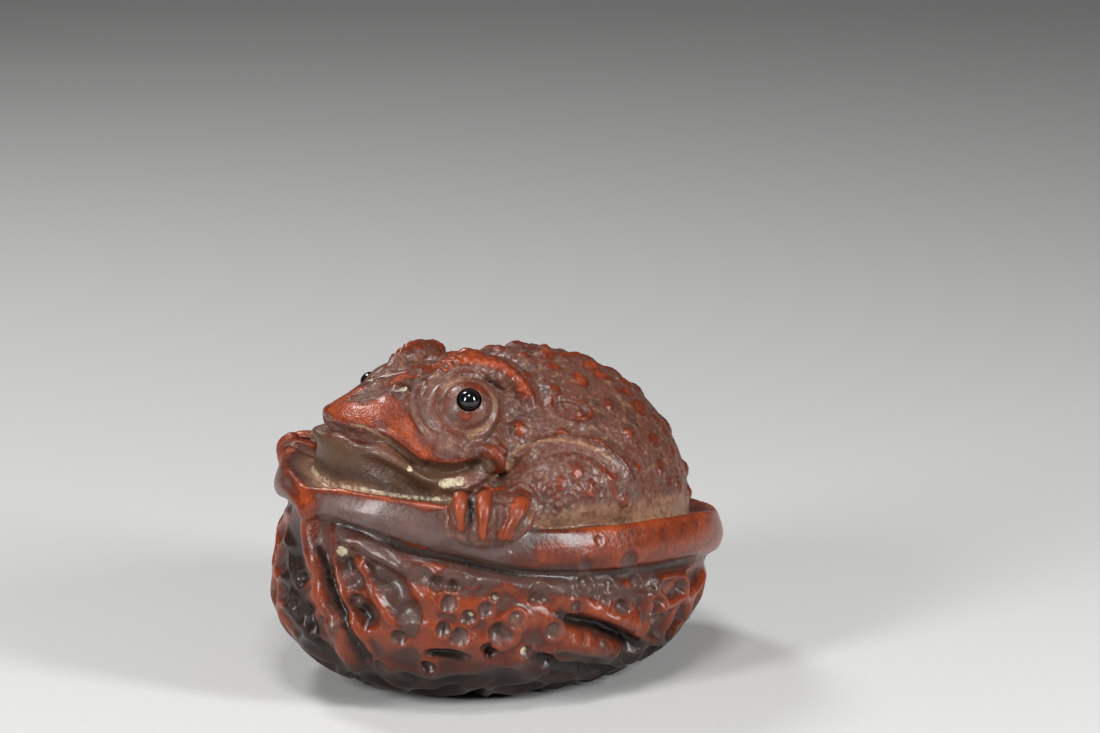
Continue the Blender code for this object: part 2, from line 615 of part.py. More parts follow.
def lip_line(clay, low, high, drop, steps=40):
    """A line across the front of the mouth, from low to high degrees, this far under the lip's edge."""
    points = []
    for degrees in np.linspace(low, high, steps):
        turn = math.radians(degrees)
        height = lip_height(abs(degrees)) - drop
        points.append(stretched(LIP_WIDTH * math.sin(turn), LIP_HUB - LIP_FRONT * math.cos(turn), height))
    return clay.snapped(points)


def carve_mouth(clay):
    clay.crease(lip_line(clay, -62, 62, 0.8), 1.5, 1.25, fade=0.1)
    clay.ridge(lip_line(clay, -60, 60, -1.4), 1.7, 0.4, fade=0.15)
    for points, _ in both_sides(clay.seen_line(MOUTH_CORNER)):
        clay.crease(points, 2.0, 1.9, fade=0.2)
    for points, _ in both_sides(clay.seen_line(LOWER_LIP)):
        clay.ridge(points, 1.6, 0.95, fade=0.25)
    for points, _ in both_sides(clay.seen_line(LIP_ROUND_CORNER)):
        clay.ridge(points, 1.3, 0.7)
    for points, _ in both_sides(clay.seen_line(UNDER_LOWER_LIP)):
        clay.ridge(points, 2.2, -0.85, fade=0.3)
    for points, _ in both_sides(clay.seen_line(LOBE)):
        clay.ridge(points, 1.7, 0.9)
    for points, _ in both_sides(clay.seen_line(BEHIND_LOBE)):
        clay.crease(points, 1.3, 0.8)


def carve_nostrils(clay):
    for points, _ in both_sides(clay.seen_line(NOSTRIL)):
        clay.ridge(points, 2.1, 0.75, fade=0.02)
        clay.ridge(points, 1.25, -1.15, fade=0.02)
    for points, _ in both_sides(clay.seen_line(SNOUT_RIDGE)):
        clay.ridge(points, 2.6, 0.45)


def carve_eyes(clay):
    """Round each eyeball: a groove, the lid's ring and a groove outside it."""
    for centre, side in both_sides(clay.seen(*EYE)):
        aim = np.array(EYE_AIM) * (side, 1, 1)
        index, _, _, _ = clay.near(centre, LID_RADIUS + 3.4)
        offset = clay.places[index] - centre
        radius = np.linalg.norm(offset - (offset @ aim)[:, None] * aim, axis=1)
        lid = 0.32 * np.exp(-((radius - LID_RADIUS) / 0.55) ** 2)
        inside = -0.45 * np.exp(-((radius - LID_RADIUS + 1.1) / 0.5) ** 2)
        outside = -0.22 * np.exp(-((radius - LID_RADIUS - 1.1) / 0.5) ** 2)
        ball = EYEBALL_SWELL * np.clip(1 - (radius / (LID_RADIUS - 1.2)) ** 2, 0, 1)
        relief = lid + inside + outside + ball
        clay.raise_by(index, relief * eased(0.2, 0.6, clay.normals[index] @ aim))
    for wrinkle in EYE_WRINKLES:
        for points, _ in both_sides(clay.seen_line(wrinkle)):
            clay.crease(points, 0.8, 0.28)


def carve_brows(clay):
    for points, _ in both_sides(clay.seen_line(BROW)):
        clay.ridge(points, 2.8, 0.7, fade=0.2)
    for points, _ in both_sides(clay.seen_line(UNDER_BROW)):
        clay.crease(points, 1.4, 0.6)
    for points, _ in both_sides(clay.seen_line(BEHIND_BROW)):
        clay.crease(points, 2.0, 0.7)
    for cell in BROW_CELLS:
        for centre, _ in both_sides(clay.seen(*cell)):
            clay.hoop(centre, 0.95, 0.3, 0.22)


def carve_eardrums(clay):
    """Oval rings, one in the other."""
    right, _, _ = view_axes()
    for centre, side in both_sides(clay.seen(*EARDRUM)):
        index, distance, _, _ = clay.near(centre, 6.5)
        along = np.array((side * right.x, right.y, -0.22))
        along /= np.linalg.norm(along)
        across = np.cross(along, clay.normals[index[np.argmin(distance)]])
        across /= np.linalg.norm(across)
        offset = clay.places[index] - centre
        away = np.hypot(offset @ along / 4.0, offset @ across / 2.6)
        rings = 0.6 * np.exp(-((away - 1.0) / 0.16) ** 2)
        rings -= 0.35 * np.exp(-((away - 0.72) / 0.14) ** 2)
        rings += 0.3 * np.exp(-((away - 0.46) / 0.13) ** 2)
        clay.raise_by(index, rings)


def carve_arms(clay):
    for points, side in both_sides(clay.seen_line(ARM_FOLD)):
        clay.fold(points, 4.2, 1.35, -side)
        clay.crease(points, 1.5, 0.9)
    for points, _ in both_sides(clay.seen_line(INNER_FOLD)):
        clay.crease(points, 1.5, 0.7)
    for points, _ in both_sides(clay.seen_line(ARMPIT)):
        clay.crease(points, 2.0, 1.0)
    for points, _ in both_sides(clay.seen_line(ELBOW)):
        clay.crease(points, 1.8, 0.6)


def carve_hands(clay):
    for line in BETWEEN_CLAWS:
        for points, _ in both_sides(clay.seen_line(line)):
            clay.ridge(points, 1.3, -0.55, fade=0.1)
    for line, width in CLAWS:
        for points, _ in both_sides(clay.seen_line(line)):
            clay.drop(points, width, 1.1)


def warts_behind(clay):
    """Warts scattered over the back where the view's own don't reach: place, radius and height."""
    rng = np.random.default_rng(5)
    hub = stretched(*WARTS_HUB)
    taken = [clay.seen(right, up) for right, up, _, _ in WARTS]
    taken += [place * MIRROR for place in taken]
    warts = []
    for _ in range(900):
        turn, lift = rng.uniform(-math.pi, math.pi), rng.uniform(0.0, 1.5)
        radius, height = rng.uniform(1.7, 2.8), rng.uniform(0.5, 0.85)
        ray = Vector((math.sin(turn) * math.cos(lift), -math.cos(turn) * math.cos(lift), math.sin(lift)))
        place = np.array(clay.surface.ray_cast(hub, ray)[0])
        x, y, z = place
        over_rim = z > rim_height(math.degrees(math.atan2(x / SHELL_WIDTH, -y / SHELL_LENGTH))) + 3.0
        on_back = y > -2.0 or (abs(x) < 8.5 and y > -14.0)
        if over_rim and on_back and min(np.linalg.norm(place - other) for other in taken) > WART_SPACING:
            warts.append((place, radius, height))
            taken.append(place)
    return warts


def carve_warts(clay):
    for right, up, radius, height in WARTS:
        for centre, _ in both_sides(clay.seen(right, up)):
            clay.wart(centre, radius, height)
    for centre, radius, height in warts_behind(clay):
        clay.wart(centre, radius, height)


def half_turned(clay, points):
    """Carving of the side that is shown, carried half way round the shell to the side that isn't."""
    moved = []
    for x, y, z in np.atleast_2d(points):
        here = math.degrees(math.atan2(x / SHELL_WIDTH, -y / SHELL_LENGTH))
        moved.append((-x, -y, z * neck_height(here + 180) / neck_height(here)))
    return clay.snapped(moved)


def carve_shell_side(clay, placed):
    """One side's ridges, folds and pits: placed turns what the view shows into points of that side."""
    clay.ridge(placed(clay.seen_line(SEAM_RIDGE)), 3.2, 1.3, fade=0.1)
    clay.crease(placed(clay.seen_line(SEAM)), 2.0, 1.3, fade=0.1)
    clay.ridge(placed(clay.seen_line(BESIDE_SEAM)), 1.8, 0.8)
    clay.ridge(placed(clay.seen_line(FRONT_VALLEY)), 3.0, -1.8)
    clay.ridge(placed(clay.seen_line(FRONT_RIDGE)), 1.7, 1.2)
    clay.ridge(placed(clay.seen_line(BAND_FOLD)), 2.6, 0.9)
    clay.crease(placed(clay.seen_line(UNDER_FOLD)), 1.8, 1.0)
    clay.ridge(placed(clay.seen_line(FRONT_HOLLOW)), 4.2, -1.5, fade=0.3)
    clay.ridge(placed(clay.seen_line(HOLLOW_RIM)), 2.6, 1.0)
    clay.ridge(placed(clay.seen_line(SHOULDER)), 2.4, 0.9)
    clay.ridge(placed(clay.seen_line(LONG_SLOT)), 2.2, -2.4, fade=0.2)
    for log in LOGS:
        clay.ridge(placed(clay.seen_line(log)), 2.6, 1.5, fade=0.25)
    for gully in GULLIES:
        clay.ridge(placed(clay.seen_line(gully)), 1.9, -1.6, fade=0.25)
    clay.wart(placed(clay.seen(*SHELL_BUMP)).reshape(3), 1.6, 0.8)
    for right, up, radius in PITS:
        centre = placed(clay.seen(right, up)).reshape(3)
        clay.pit(centre, radius, 0.45 * radius, 0.3)


def hollow_centres(rng):
    """Scattered points over the shell's wall, none nearer the next than HOLLOW_SPACING."""
    heights = [level[0] for level in WALL]
    centres = []
    for _ in range(2600):
        degrees = rng.uniform(0, 360)
        z = rng.uniform(-3, 34)
        front = math.cos(math.radians(degrees))
        share = np.interp(z, heights, [share + more * front for _, share, more in WALL])
        outline = rim_point(degrees)
        place = np.array((outline.x * share, outline.y * share, z * STRETCH.z * HOLLOW_FLATNESS))
        if all(np.linalg.norm(place - other) > HOLLOW_SPACING for other in centres):
            centres.append(place)
    return centres


def carve_hollows(clay):
    """Polished ridges between hollows, like a walnut's: strongest where the view's own carving isn't."""
    centres = hollow_centres(np.random.default_rng(7))
    tree = KDTree(len(centres))
    for number, centre in enumerate(centres):
        tree.insert(centre, number)
    tree.balance()
    x, y, z = clay.places.T
    degrees = np.degrees(np.arctan2(x / SHELL_WIDTH, -y / SHELL_LENGTH))
    neck = np.interp(np.abs(degrees), RIM_ANGLES, RIM_HEIGHTS) * STRETCH.z - BAND_HEIGHT
    share = eased(1.0, 4.5, neck - z) * eased(0.6, 2.4, z)
    index = np.nonzero(share > 0.01)[0]
    own_carving = eased(2, 8, z[index]) * np.exp(-((np.abs(degrees[index] - 45) / 62) ** 4))
    own_carving += eased(2, 8, z[index]) * np.exp(-((np.abs(degrees[index] + 135) / 62) ** 4))
    x, y, z = clay.places[index].T
    swells = np.sin(0.62 * x + 0.35 * z + 1.0) * np.sin(0.55 * y - 0.4 * z)
    swells += 0.7 * np.sin(0.9 * z + 0.5 * y - 0.4 * x)
    depth = np.empty(len(index))
    for row, number in enumerate(index):
        place = clay.places[number] * (1, 1, HOLLOW_FLATNESS)
        sway = 1.1 * np.sin(0.42 * place[[1, 2, 0]] + 1.3) + 0.6 * np.sin(0.9 * place[[2, 0, 1]])
        (_, _, nearest), (_, _, second) = tree.find_n(place + sway, 2)
        depth[row] = second - nearest
    relief = RIDGE_HEIGHT * (0.9 - 1.7 * eased(0.2, 4.6, depth))
    relief = relief * (1 - 0.85 * own_carving) + WALL_SWELL * swells * own_carving
    clay.raise_by(index, relief * share[index])


def carve_shell(clay):
    carve_hollows(clay)
    for points, _ in both_sides(clay.seen_line(BAND_GROOVE)):
        clay.ridge(points, 2.0, -0.8, fade=0.05)
    carve_shell_side(clay, lambda points: points)
    carve_shell_side(clay, lambda points: half_turned(clay, points))


def right_eye_drop(clay, places):
    """How far each place sinks with the lower eye."""
    away = np.linalg.norm(places - clay.seen(*EYE) * MIRROR, axis=1)
    return RIGHT_EYE_DROP * np.exp(-((away / (1.1 * LID_RADIUS)) ** 2))


def bead_centres(clay):
    """Where the beads sit on the eyeballs: the left one's and the right one's."""
    left = clay.seen(*BEAD) + np.array(EYE_AIM) * EYEBALL_SWELL
    return left, left * MIRROR - (0, 0, RIGHT_EYE_DROP)


def carve(clay):
    carve_shell(clay)
    carve_mouth(clay)
    carve_nostrils(clay)
    carve_eyes(clay)
    carve_brows(clay)
    carve_eardrums(clay)
    carve_arms(clay)
    carve_hands(clay)
    carve_warts(clay)
    clay.places[:, 2] -= right_eye_drop(clay, clay.places)


# materials

def make_material(name, colour, roughness, coat=0.0):
    material = bpy.data.materials.new(name)
    material.use_nodes = True
    shader = material.node_tree.nodes["Principled BSDF"]
    shader.inputs["Base Color"].default_value = (*colour, 1.0)
    shader.inputs["Roughness"].default_value = roughness
    shader.inputs["Metallic"].default_value = 0.0
    shader.inputs["Coat Weight"].default_value = coat
    return material


def clay_material():
    return make_material("tea_polished_clay", (0.23, 0.06, 0.03), 0.36, coat=0.3)


def bead_material():
    return make_material("black_glass", (0.006, 0.007, 0.008), 0.06)


# objects

def hide_helper(obj):
    obj.hide_render = True
    obj.display_type = "WIRE"


def cut_away(obj, cutter, name):
    boolean = obj.modifiers.new(name, "BOOLEAN")
    boolean.operation = "DIFFERENCE"
    boolean.solver = "EXACT"
    boolean.object = cutter


def link_mesh(name, bm):
    mesh = bpy.data.meshes.new(name)
    bm.to_mesh(mesh)
    bm.free()
    obj = bpy.data.objects.new(name, mesh)
    bpy.context.scene.collection.objects.link(obj)
    return obj


def thinned(obj):
    """The carved mesh with its triangles cut down to the number that is kept, scaled to metres."""
    obj.data.transform(Matrix.Scale(MM, 4))
    triangles = 2 * len(obj.data.polygons)
    decimate = obj.modifiers.new("Thin", "DECIMATE")
    decimate.ratio = BODY_TRIANGLES / triangles
    mesh = evaluated_copy(obj)
    obj.modifiers.clear()
    obj.data = mesh
    obj.data.name = obj.name
    return obj


def make_foot_cutter():
    """A slab under the table's level, which leaves the foot flat."""
    bm = bmesh.new()
    size = 1.2 * max(SHELL_LENGTH, SHELL_WIDTH) * MM
    depth = 10 * MM
    place = Matrix.Translation((0, 0, -depth / 2)) @ Matrix.Diagonal((size, size, depth, 1.0))
    bmesh.ops.create_cube(bm, size=1.0, matrix=place)
    cutter = link_mesh("foot_cutter", bm)
    hide_helper(cutter)
    return cutter


def eye_frame(centre, side):
    """Where a bead sits: its own Z runs out of the eye."""
    aim = Vector((side * EYE_AIM.x, EYE_AIM.y, EYE_AIM.z))
    turn = aim.to_track_quat("Z", "Y").to_matrix().to_4x4()
    return Matrix.Translation((Vector(centre) - aim * BEAD_SUNK) * MM) @ turn


def make_bead(name, centre, side, material):
    bm = bmesh.new()
    bmesh.ops.create_icosphere(bm, subdivisions=3, radius=BEAD_DIAMETER / 2 * MM)
    bead = link_mesh(name, bm)
    bead.matrix_world = eye_frame(centre, side)
    bead.data.shade_smooth()
    bead.data.materials.append(material)
    return bead


def make_socket_cutter(name, centre, side):
    """A round-ended hole that holds the bead with BEAD_GAP all round."""
    bm = bmesh.new()
    bmesh.ops.create_uvsphere(bm, u_segments=24, v_segments=12, radius=(BEAD_DIAMETER / 2 + BEAD_GAP) * MM)
    for vert in bm.verts:
        if vert.co.z > 0.1 * BEAD_GAP * MM:
            vert.co.z += BEAD_DIAMETER * MM
    cutter = link_mesh(name, bm)
    cutter.matrix_world = eye_frame(centre, side)
    hide_helper(cutter)
    return cutter


def build():
    for obj in list(bpy.data.objects):
        bpy.data.objects.remove(obj)
    body = fused_form()
    clay = Clay(body)
    carve(clay)
    clay.places[:, 2] -= FOOT_TRIM
    clay.finish()
    body.data.materials.clear()
    bead_left, bead_right = [centre - (0, 0, FOOT_TRIM) for centre in bead_centres(clay)]
    thinned(body)
    body.data.shade_smooth()
    body.data.materials.append(clay_material())
    cut_away(body, make_foot_cutter(), "Flat foot")
    glass = bead_material()
    for name, centre, side in (("left", bead_left, 1), ("right", bead_right, -1)):
        cut_away(body, make_socket_cutter(f"socket_cutter_{name}", centre, side), f"Socket {name}")
        make_bead(f"eye_{name}", centre, side, glass)


build()
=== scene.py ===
"""The looks of a tea pet: a toad in half a walnut shell, in tea-polished clay, with black glass eyes.

+X is the toad's left, -Y its nose and +Z up. The origin is the middle of the flat foot, on the table.
The clay is formed and carved as the solid is, in millimetres, with finer faces. Then come the fine
work that the solid leaves out, the colours that its vertices carry, and the stage, lamps and camera.
"""

import json
import math

import bmesh
import bpy
import numpy as np
from mathutils import Matrix, Vector
from mathutils.bvhtree import BVHTree
from mathutils.kdtree import KDTree

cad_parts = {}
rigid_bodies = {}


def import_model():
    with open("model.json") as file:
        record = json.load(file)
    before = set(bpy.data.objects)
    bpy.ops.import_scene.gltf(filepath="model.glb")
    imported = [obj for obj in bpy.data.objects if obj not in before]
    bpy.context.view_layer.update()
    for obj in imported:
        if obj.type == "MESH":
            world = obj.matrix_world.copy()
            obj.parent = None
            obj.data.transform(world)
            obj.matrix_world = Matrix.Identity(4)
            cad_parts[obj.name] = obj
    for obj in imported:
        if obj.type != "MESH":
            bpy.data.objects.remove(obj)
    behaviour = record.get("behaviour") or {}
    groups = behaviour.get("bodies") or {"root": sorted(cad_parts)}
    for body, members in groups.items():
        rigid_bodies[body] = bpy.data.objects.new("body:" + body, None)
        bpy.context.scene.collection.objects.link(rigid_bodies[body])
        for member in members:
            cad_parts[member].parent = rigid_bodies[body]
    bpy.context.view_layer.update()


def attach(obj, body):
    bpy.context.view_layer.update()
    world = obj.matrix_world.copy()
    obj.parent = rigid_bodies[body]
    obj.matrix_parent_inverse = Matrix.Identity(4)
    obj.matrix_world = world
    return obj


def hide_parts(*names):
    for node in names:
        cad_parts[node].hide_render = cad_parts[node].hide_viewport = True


MM = 0.001

# driving dimensions, in millimetres
SHELL_LENGTH = 89.0
SHELL_WIDTH = 72.0
TOAD_HEIGHT = 63.5
BAND_HEIGHT = 8.9
BAND_HEIGHT_AT_TIP = 5.8
BAND_OVERHANG = 1.8
LEDGE_WIDTH = 5.0
KEEL_HEIGHT = 1.0
TAIL_SWELL = 1.0  # how far the band stands out further at the two corners of the tail
LID_RADIUS = 6.1
LID_HEIGHT = 0.32
LID_INNER_GROOVE = 0.45
LID_OUTER_GROOVE = 0.22
LID_GROOVE_GAP = 1.1
EYEBALL_SWELL = 0.5  # how far the eyeball stands out between its lids
BEAD_DIAMETER = 4.1
BEAD_SUNK = 1.2
BEAD_GAP = 0.25
FINGER_RADIUS = 2.1
HOLLOW_SPACING = 6.4
HOLLOW_FLATNESS = 1.35  # a hollow's width against its height
HOLLOW_TRIES = 2600
HOLLOW_SEED = 7
RIDGE_HEIGHT = 1.2
WALL_SWELL = 0.45  # how far the wall swells and sinks between the carving that the view shows
FOOT_TRIM = 0.3
RIGHT_EYE_DROP = 2.7  # the head leans to its right: that eye is this much lower

# how finely the clay is worked, and how many triangles are kept
VOXEL = 0.36
SOFTENING = 1.5
BODY_TRIANGLES = 190000

# the size the forms below are drawn at: they stretch to the driving dimensions
DRAWN_WIDTH = 72.0
DRAWN_LENGTH = 89.0
DRAWN_HEIGHT = 63.5
STRETCH = Vector((SHELL_WIDTH / DRAWN_WIDTH, SHELL_LENGTH / DRAWN_LENGTH, TOAD_HEIGHT / DRAWN_HEIGHT))

# the shell's wall from the foot to its widest: height, share of the outline, and how much more at the front
WALL = [
    (0.0, 0.42, 0.0),
    (0.8, 0.535, 0.0),
    (2.2, 0.665, 0.01),
    (4.8, 0.785, 0.02),
    (8.0, 0.872, 0.033),
    (12.0, 0.94, 0.035),
    (16.0, 0.968, 0.042),
    (19.0, 0.9755, 0.0395),
]
# the rim's height by degrees from the front tip, the same on both sides
RIM_ANGLES = [0, 14, 30, 46, 58, 67, 78, 91, 106, 128, 144, 167, 180]
RIM_HEIGHTS = [41.7, 42.6, 42.2, 41.2, 38.3, 36.0, 35.2, 34.4, 33.6, 31.5, 28.9, 26.9, 26.3]

# the head's outline at the lips and at the crown
LIP_WIDTH, LIP_FRONT, LIP_BACK, LIP_HUB = 20.4, 18.3, 14.0, -17.0
CROWN_WIDTH, CROWN_FRONT, CROWN_BACK, CROWN_HUB = 9.4, 19.6, 12.0, -14.0
JAW_WIDTH, JAW_FRONT, JAW_BACK = 19.5, 19.9, 13.0
THROAT_HEIGHT = 35.7
LIP_FRONT_HEIGHT, LIP_SIDE_HEIGHT = 51.3, 45.9
SNOUT_HEIGHT, SNOUT_SLOPE = 55.0, 0.27
EYE_AIM = Vector((0.74, -0.54, 0.41)).normalized()

# each finger of the left hand, at its base, middle and tip: a place, and a share of FINGER_RADIUS
FINGERS = [
    ((24.6, -26.0, 41.0, 0.70), (27.2, -28.8, 41.0, 0.92), (28.7, -30.3, 38.4, 0.42)),
    ((27.4, -22.4, 40.8, 0.75), (30.2, -25.4, 39.9, 0.98), (31.6, -26.7, 36.6, 0.42)),
    ((30.4, -16.9, 39.0, 0.90), (33.0, -19.2, 38.3, 1.25), (33.9, -21.9, 35.9, 0.55)),
]

# Carving is placed as the eye sees it from the toad's front left, in millimetres to the right of
# the foot's middle and above it, on a plane square to the view.
VIEW_AZIMUTH = 54.0
VIEW_ELEVATION = 15.0
EYE_DISTANCE = 900.0
VIEW_CENTRE = Vector((0.0, 0.0, 30.0))

EYE = (-5.9, 49.5)
BEAD = (-5.5, 49.9)
NOSTRIL = [(-19.2, 51.7), (-18.5, 52.1), (-17.6, 52.5)]
EARDRUM = (13.7, 48.2)
EARDRUM_RADII = (4.0, 2.6)
SNOUT_RIDGE = [(-27.7, 51.0), (-23.9, 52.8), (-20.1, 53.7), (-16.3, 55.0), (-12.9, 56.0)]
EYE_WRINKLES = [
    [(-13.3, 54.8), (-14.6, 52.2), (-14.8, 49.1), (-13.5, 45.7), (-11.0, 43.1)],
    [(-14.6, 55.6), (-16.3, 52.6), (-16.5, 48.8), (-15.2, 45.0), (-12.5, 41.9)],
    [(-9.9, 42.5), (-6.5, 41.2), (-2.7, 41.7), (0.0, 43.8)],
]
BROW = [(-11.8, 56.0), (-8.7, 57.7), (-4.6, 58.1), (0.0, 57.1), (3.0, 54.8), (5.1, 52.0), (6.1, 49.1)]
UNDER_BROW = [(-9.9, 55.6), (-6.8, 56.4), (-2.7, 56.4), (0.4, 55.0), (2.3, 52.8), (3.4, 49.9)]
BEHIND_BROW = [(0.4, 59.0), (4.2, 56.7), (7.0, 53.9), (8.2, 50.5), (8.3, 47.6)]
BROW_CELLS = [
    (-9.7, 56.2), (-8.3, 56.9), (-6.6, 57.5), (-4.7, 57.3), (-2.8, 57.1), (-0.8, 56.4), (0.9, 55.4),
    (2.5, 54.1), (4.0, 52.6), (4.9, 50.9), (-0.9, 54.5), (1.1, 53.1), (2.7, 51.2),
]
MOUTH_CORNER = [(-15.5, 38.0), (-13.0, 36.9), (-10.0, 36.2), (-7.0, 36.4), (-4.5, 37.3), (-2.8, 37.9)]
LOWER_LIP = [
    (-28.0, 40.4), (-26.0, 40.3), (-23.0, 39.9), (-20.5, 38.7), (-17.6, 37.0), (-14.4, 35.0),
    (-11.6, 33.5),
]
LIP_ROUND_CORNER = [(-11.6, 33.5), (-7.6, 33.2), (-4.4, 34.2), (-2.2, 36.0), (-1.4, 38.0)]
UNDER_LOWER_LIP = [(-26.0, 38.0), (-22.8, 37.2), (-19.6, 35.9), (-16.8, 34.0), (-13.8, 32.2), (-9.0, 31.6)]
LOBE = [(-6.1, 39.2), (-4.8, 40.2), (-2.8, 40.6), (-0.6, 39.7), (0.6, 37.8), (0.3, 35.8)]
BEHIND_LOBE = [(-3.0, 42.1), (-0.4, 41.6), (1.5, 39.3), (2.3, 36.8)]
ARM_FOLD = [
    (2.7, 39.7), (4.7, 41.0), (8.0, 42.1), (12.1, 42.5), (16.7, 41.9), (20.5, 40.2), (23.5, 37.2),
    (25.2, 33.6), (25.6, 30.6),
]
INNER_FOLD = [(7.6, 38.9), (11.0, 40.2), (15.2, 40.2), (18.6, 38.9), (20.9, 36.6), (22.0, 34.0)]
ARMPIT = [(-0.6, 34.9), (1.2, 37.2), (2.7, 39.7)]
# each claw from its root to its tip, and its half width
CLAWS = [
    ([(-7.2, 31.4), (-7.2, 28.5), (-7.1, 25.4)], 1.45),
    ([(-2.6, 31.6), (-2.8, 27.8), (-3.0, 23.7)], 1.6),
    ([(4.3, 31.2), (3.2, 28.0), (1.0, 23.7)], 2.1),
]
BETWEEN_CLAWS = [
    [(-9.2, 31.0), (-8.9, 28.2), (-8.0, 25.2)],
    [(-5.3, 31.6), (-5.1, 28.5), (-4.9, 24.8)],
    [(-0.6, 31.4), (-0.4, 28.2), (-0.9, 23.9)],
    [(6.6, 30.4), (5.3, 26.9), (2.9, 23.6)],
]
ELBOW = [(6.9, 34.7), (7.5, 33.0), (8.6, 31.5), (9.5, 30.2)]
# warts of the back: right, up, radius and height
WARTS = [
    (4.4, 57.9, 2.4, 0.9), (8.9, 58.3, 2.6, 1.1), (12.0, 57.7, 2.2, 0.8), (17.5, 56.0, 2.8, 1.1),
    (10.2, 55.8, 2.6, 0.8), (15.0, 53.9, 2.4, 0.8), (20.7, 53.7, 2.3, 0.7), (23.1, 51.0, 2.5, 0.7),
    (26.9, 48.6, 2.4, 0.7), (29.8, 45.7, 2.3, 0.7), (21.1, 49.1, 2.0, 0.5), (24.7, 43.5, 2.1, 0.5),
    (29.8, 41.9, 2.0, 0.5), (33.0, 39.7, 2.0, 0.5), (3.6, 44.6, 2.0, 0.8), (30.7, 35.9, 1.8, 0.5),
    (14.6, 36.2, 2.4, 0.5), (17.5, 32.4, 2.2, 0.5), (11.8, 34.0, 2.0, 0.5),
]

# warts scattered behind: rays from the hub find their places
WART_SPACING = 5.2
WARTS_HUB = (0.0, 6.0, 30.0)
WART_TRIES = 900
WART_SEED = 5

# the shell: lines of its carving
SEAM_RIDGE = [
    (-36.4, 31.0), (-36.0, 27.0), (-35.8, 23.4), (-34.9, 19.5), (-33.4, 14.6), (-31.9, 9.5),
    (-29.6, 3.6), (-27.0, -1.4),
]
SEAM = [
    (-33.6, 22.6), (-32.6, 19.0), (-31.7, 15.0), (-30.4, 11.4), (-29.0, 8.3), (-27.8, 5.1),
    (-25.8, 1.5), (-24.1, -0.9),
]
BESIDE_SEAM = [(-31.7, 18.0), (-30.0, 13.5), (-28.7, 11.0), (-26.8, 7.4), (-24.9, 4.0), (-23.7, 0.5)]
FRONT_VALLEY = [(-30.0, 21.6), (-28.6, 18.0), (-27.2, 14.4), (-26.6, 11.0), (-23.9, 6.0)]
FRONT_RIDGE = [
    (-27.3, 20.2), (-25.6, 18.4), (-24.4, 16.0), (-23.4, 13.1), (-22.0, 10.4), (-20.0, 8.3),
    (-17.8, 6.8), (-16.7, 5.1),
]
BAND_FOLD = [
    (-32.1, 26.4), (-28.7, 23.5), (-26.4, 22.8), (-23.9, 20.9), (-21.5, 20.2), (-19.1, 18.4),
    (-16.7, 17.1),
]
UNDER_FOLD = [(-29.6, 21.9), (-26.4, 20.7), (-23.9, 18.8), (-21.0, 17.8), (-18.6, 15.9)]
FRONT_HOLLOW = [(-22.4, 18.2), (-20.0, 14.0), (-18.0, 9.6), (-16.6, 7.0)]
BAND_GROOVE = [
    (-31.7, 26.9), (-27.8, 25.7), (-23.9, 24.5), (-20.3, 23.1), (-17.1, 21.6), (-13.0, 20.2),
    (-7.2, 19.1), (0.4, 17.6), (9.9, 16.6), (19.4, 16.4), (28.8, 17.3), (37.4, 19.2),
]
SHOULDER = [(-14.0, 17.4), (-7.0, 16.2), (0.4, 15.0), (7.0, 14.2), (14.0, 14.4)]
LONG_SLOT = [(11.5, 9.2), (14.2, 7.9), (17.5, 7.2), (20.6, 6.2), (24.0, 4.4), (27.0, 3.2)]
LOGS = [
    [(11.4, 4.4), (14.0, 3.6), (17.0, 3.0), (20.6, 2.6), (23.4, 2.2)],
    [(20.4, 0.4), (24.0, 1.4), (28.0, 3.6), (31.4, 5.8), (33.6, 7.4)],
    [(19.0, 8.8), (23.0, 7.6), (26.5, 8.0), (28.5, 11.0), (30.0, 14.0)],
]
HOLLOW_RIM = [(-20.6, 18.6), (-18.0, 17.4), (-15.4, 15.0), (-13.4, 12.0), (-12.8, 8.6), (-14.4, 5.4)]
GULLIES = [
    [(5.4, 1.6), (7.8, 1.0), (10.0, -0.4), (13.4, -1.0), (17.4, -1.2), (20.6, -1.2)],
    [(-15.0, 2.2), (-11.5, 1.4), (-8.0, 1.0), (-4.5, 0.2)],
    [(-20.0, -1.2), (-15.0, -3.0), (-9.0, -3.6), (-3.0, -3.2)],
    [(22.4, 0.6), (25.2, 0.6), (28.6, 1.8), (32.0, 4.2)],
    [(-36.6, 12.6), (-36.0, 8.6), (-34.4, 5.0), (-31.8, 1.4)],
    [(-2.6, 4.0), (-1.8, 2.2), (-0.6, 0.8)],
]
SHELL_BUMP = (18.0, -1.0)
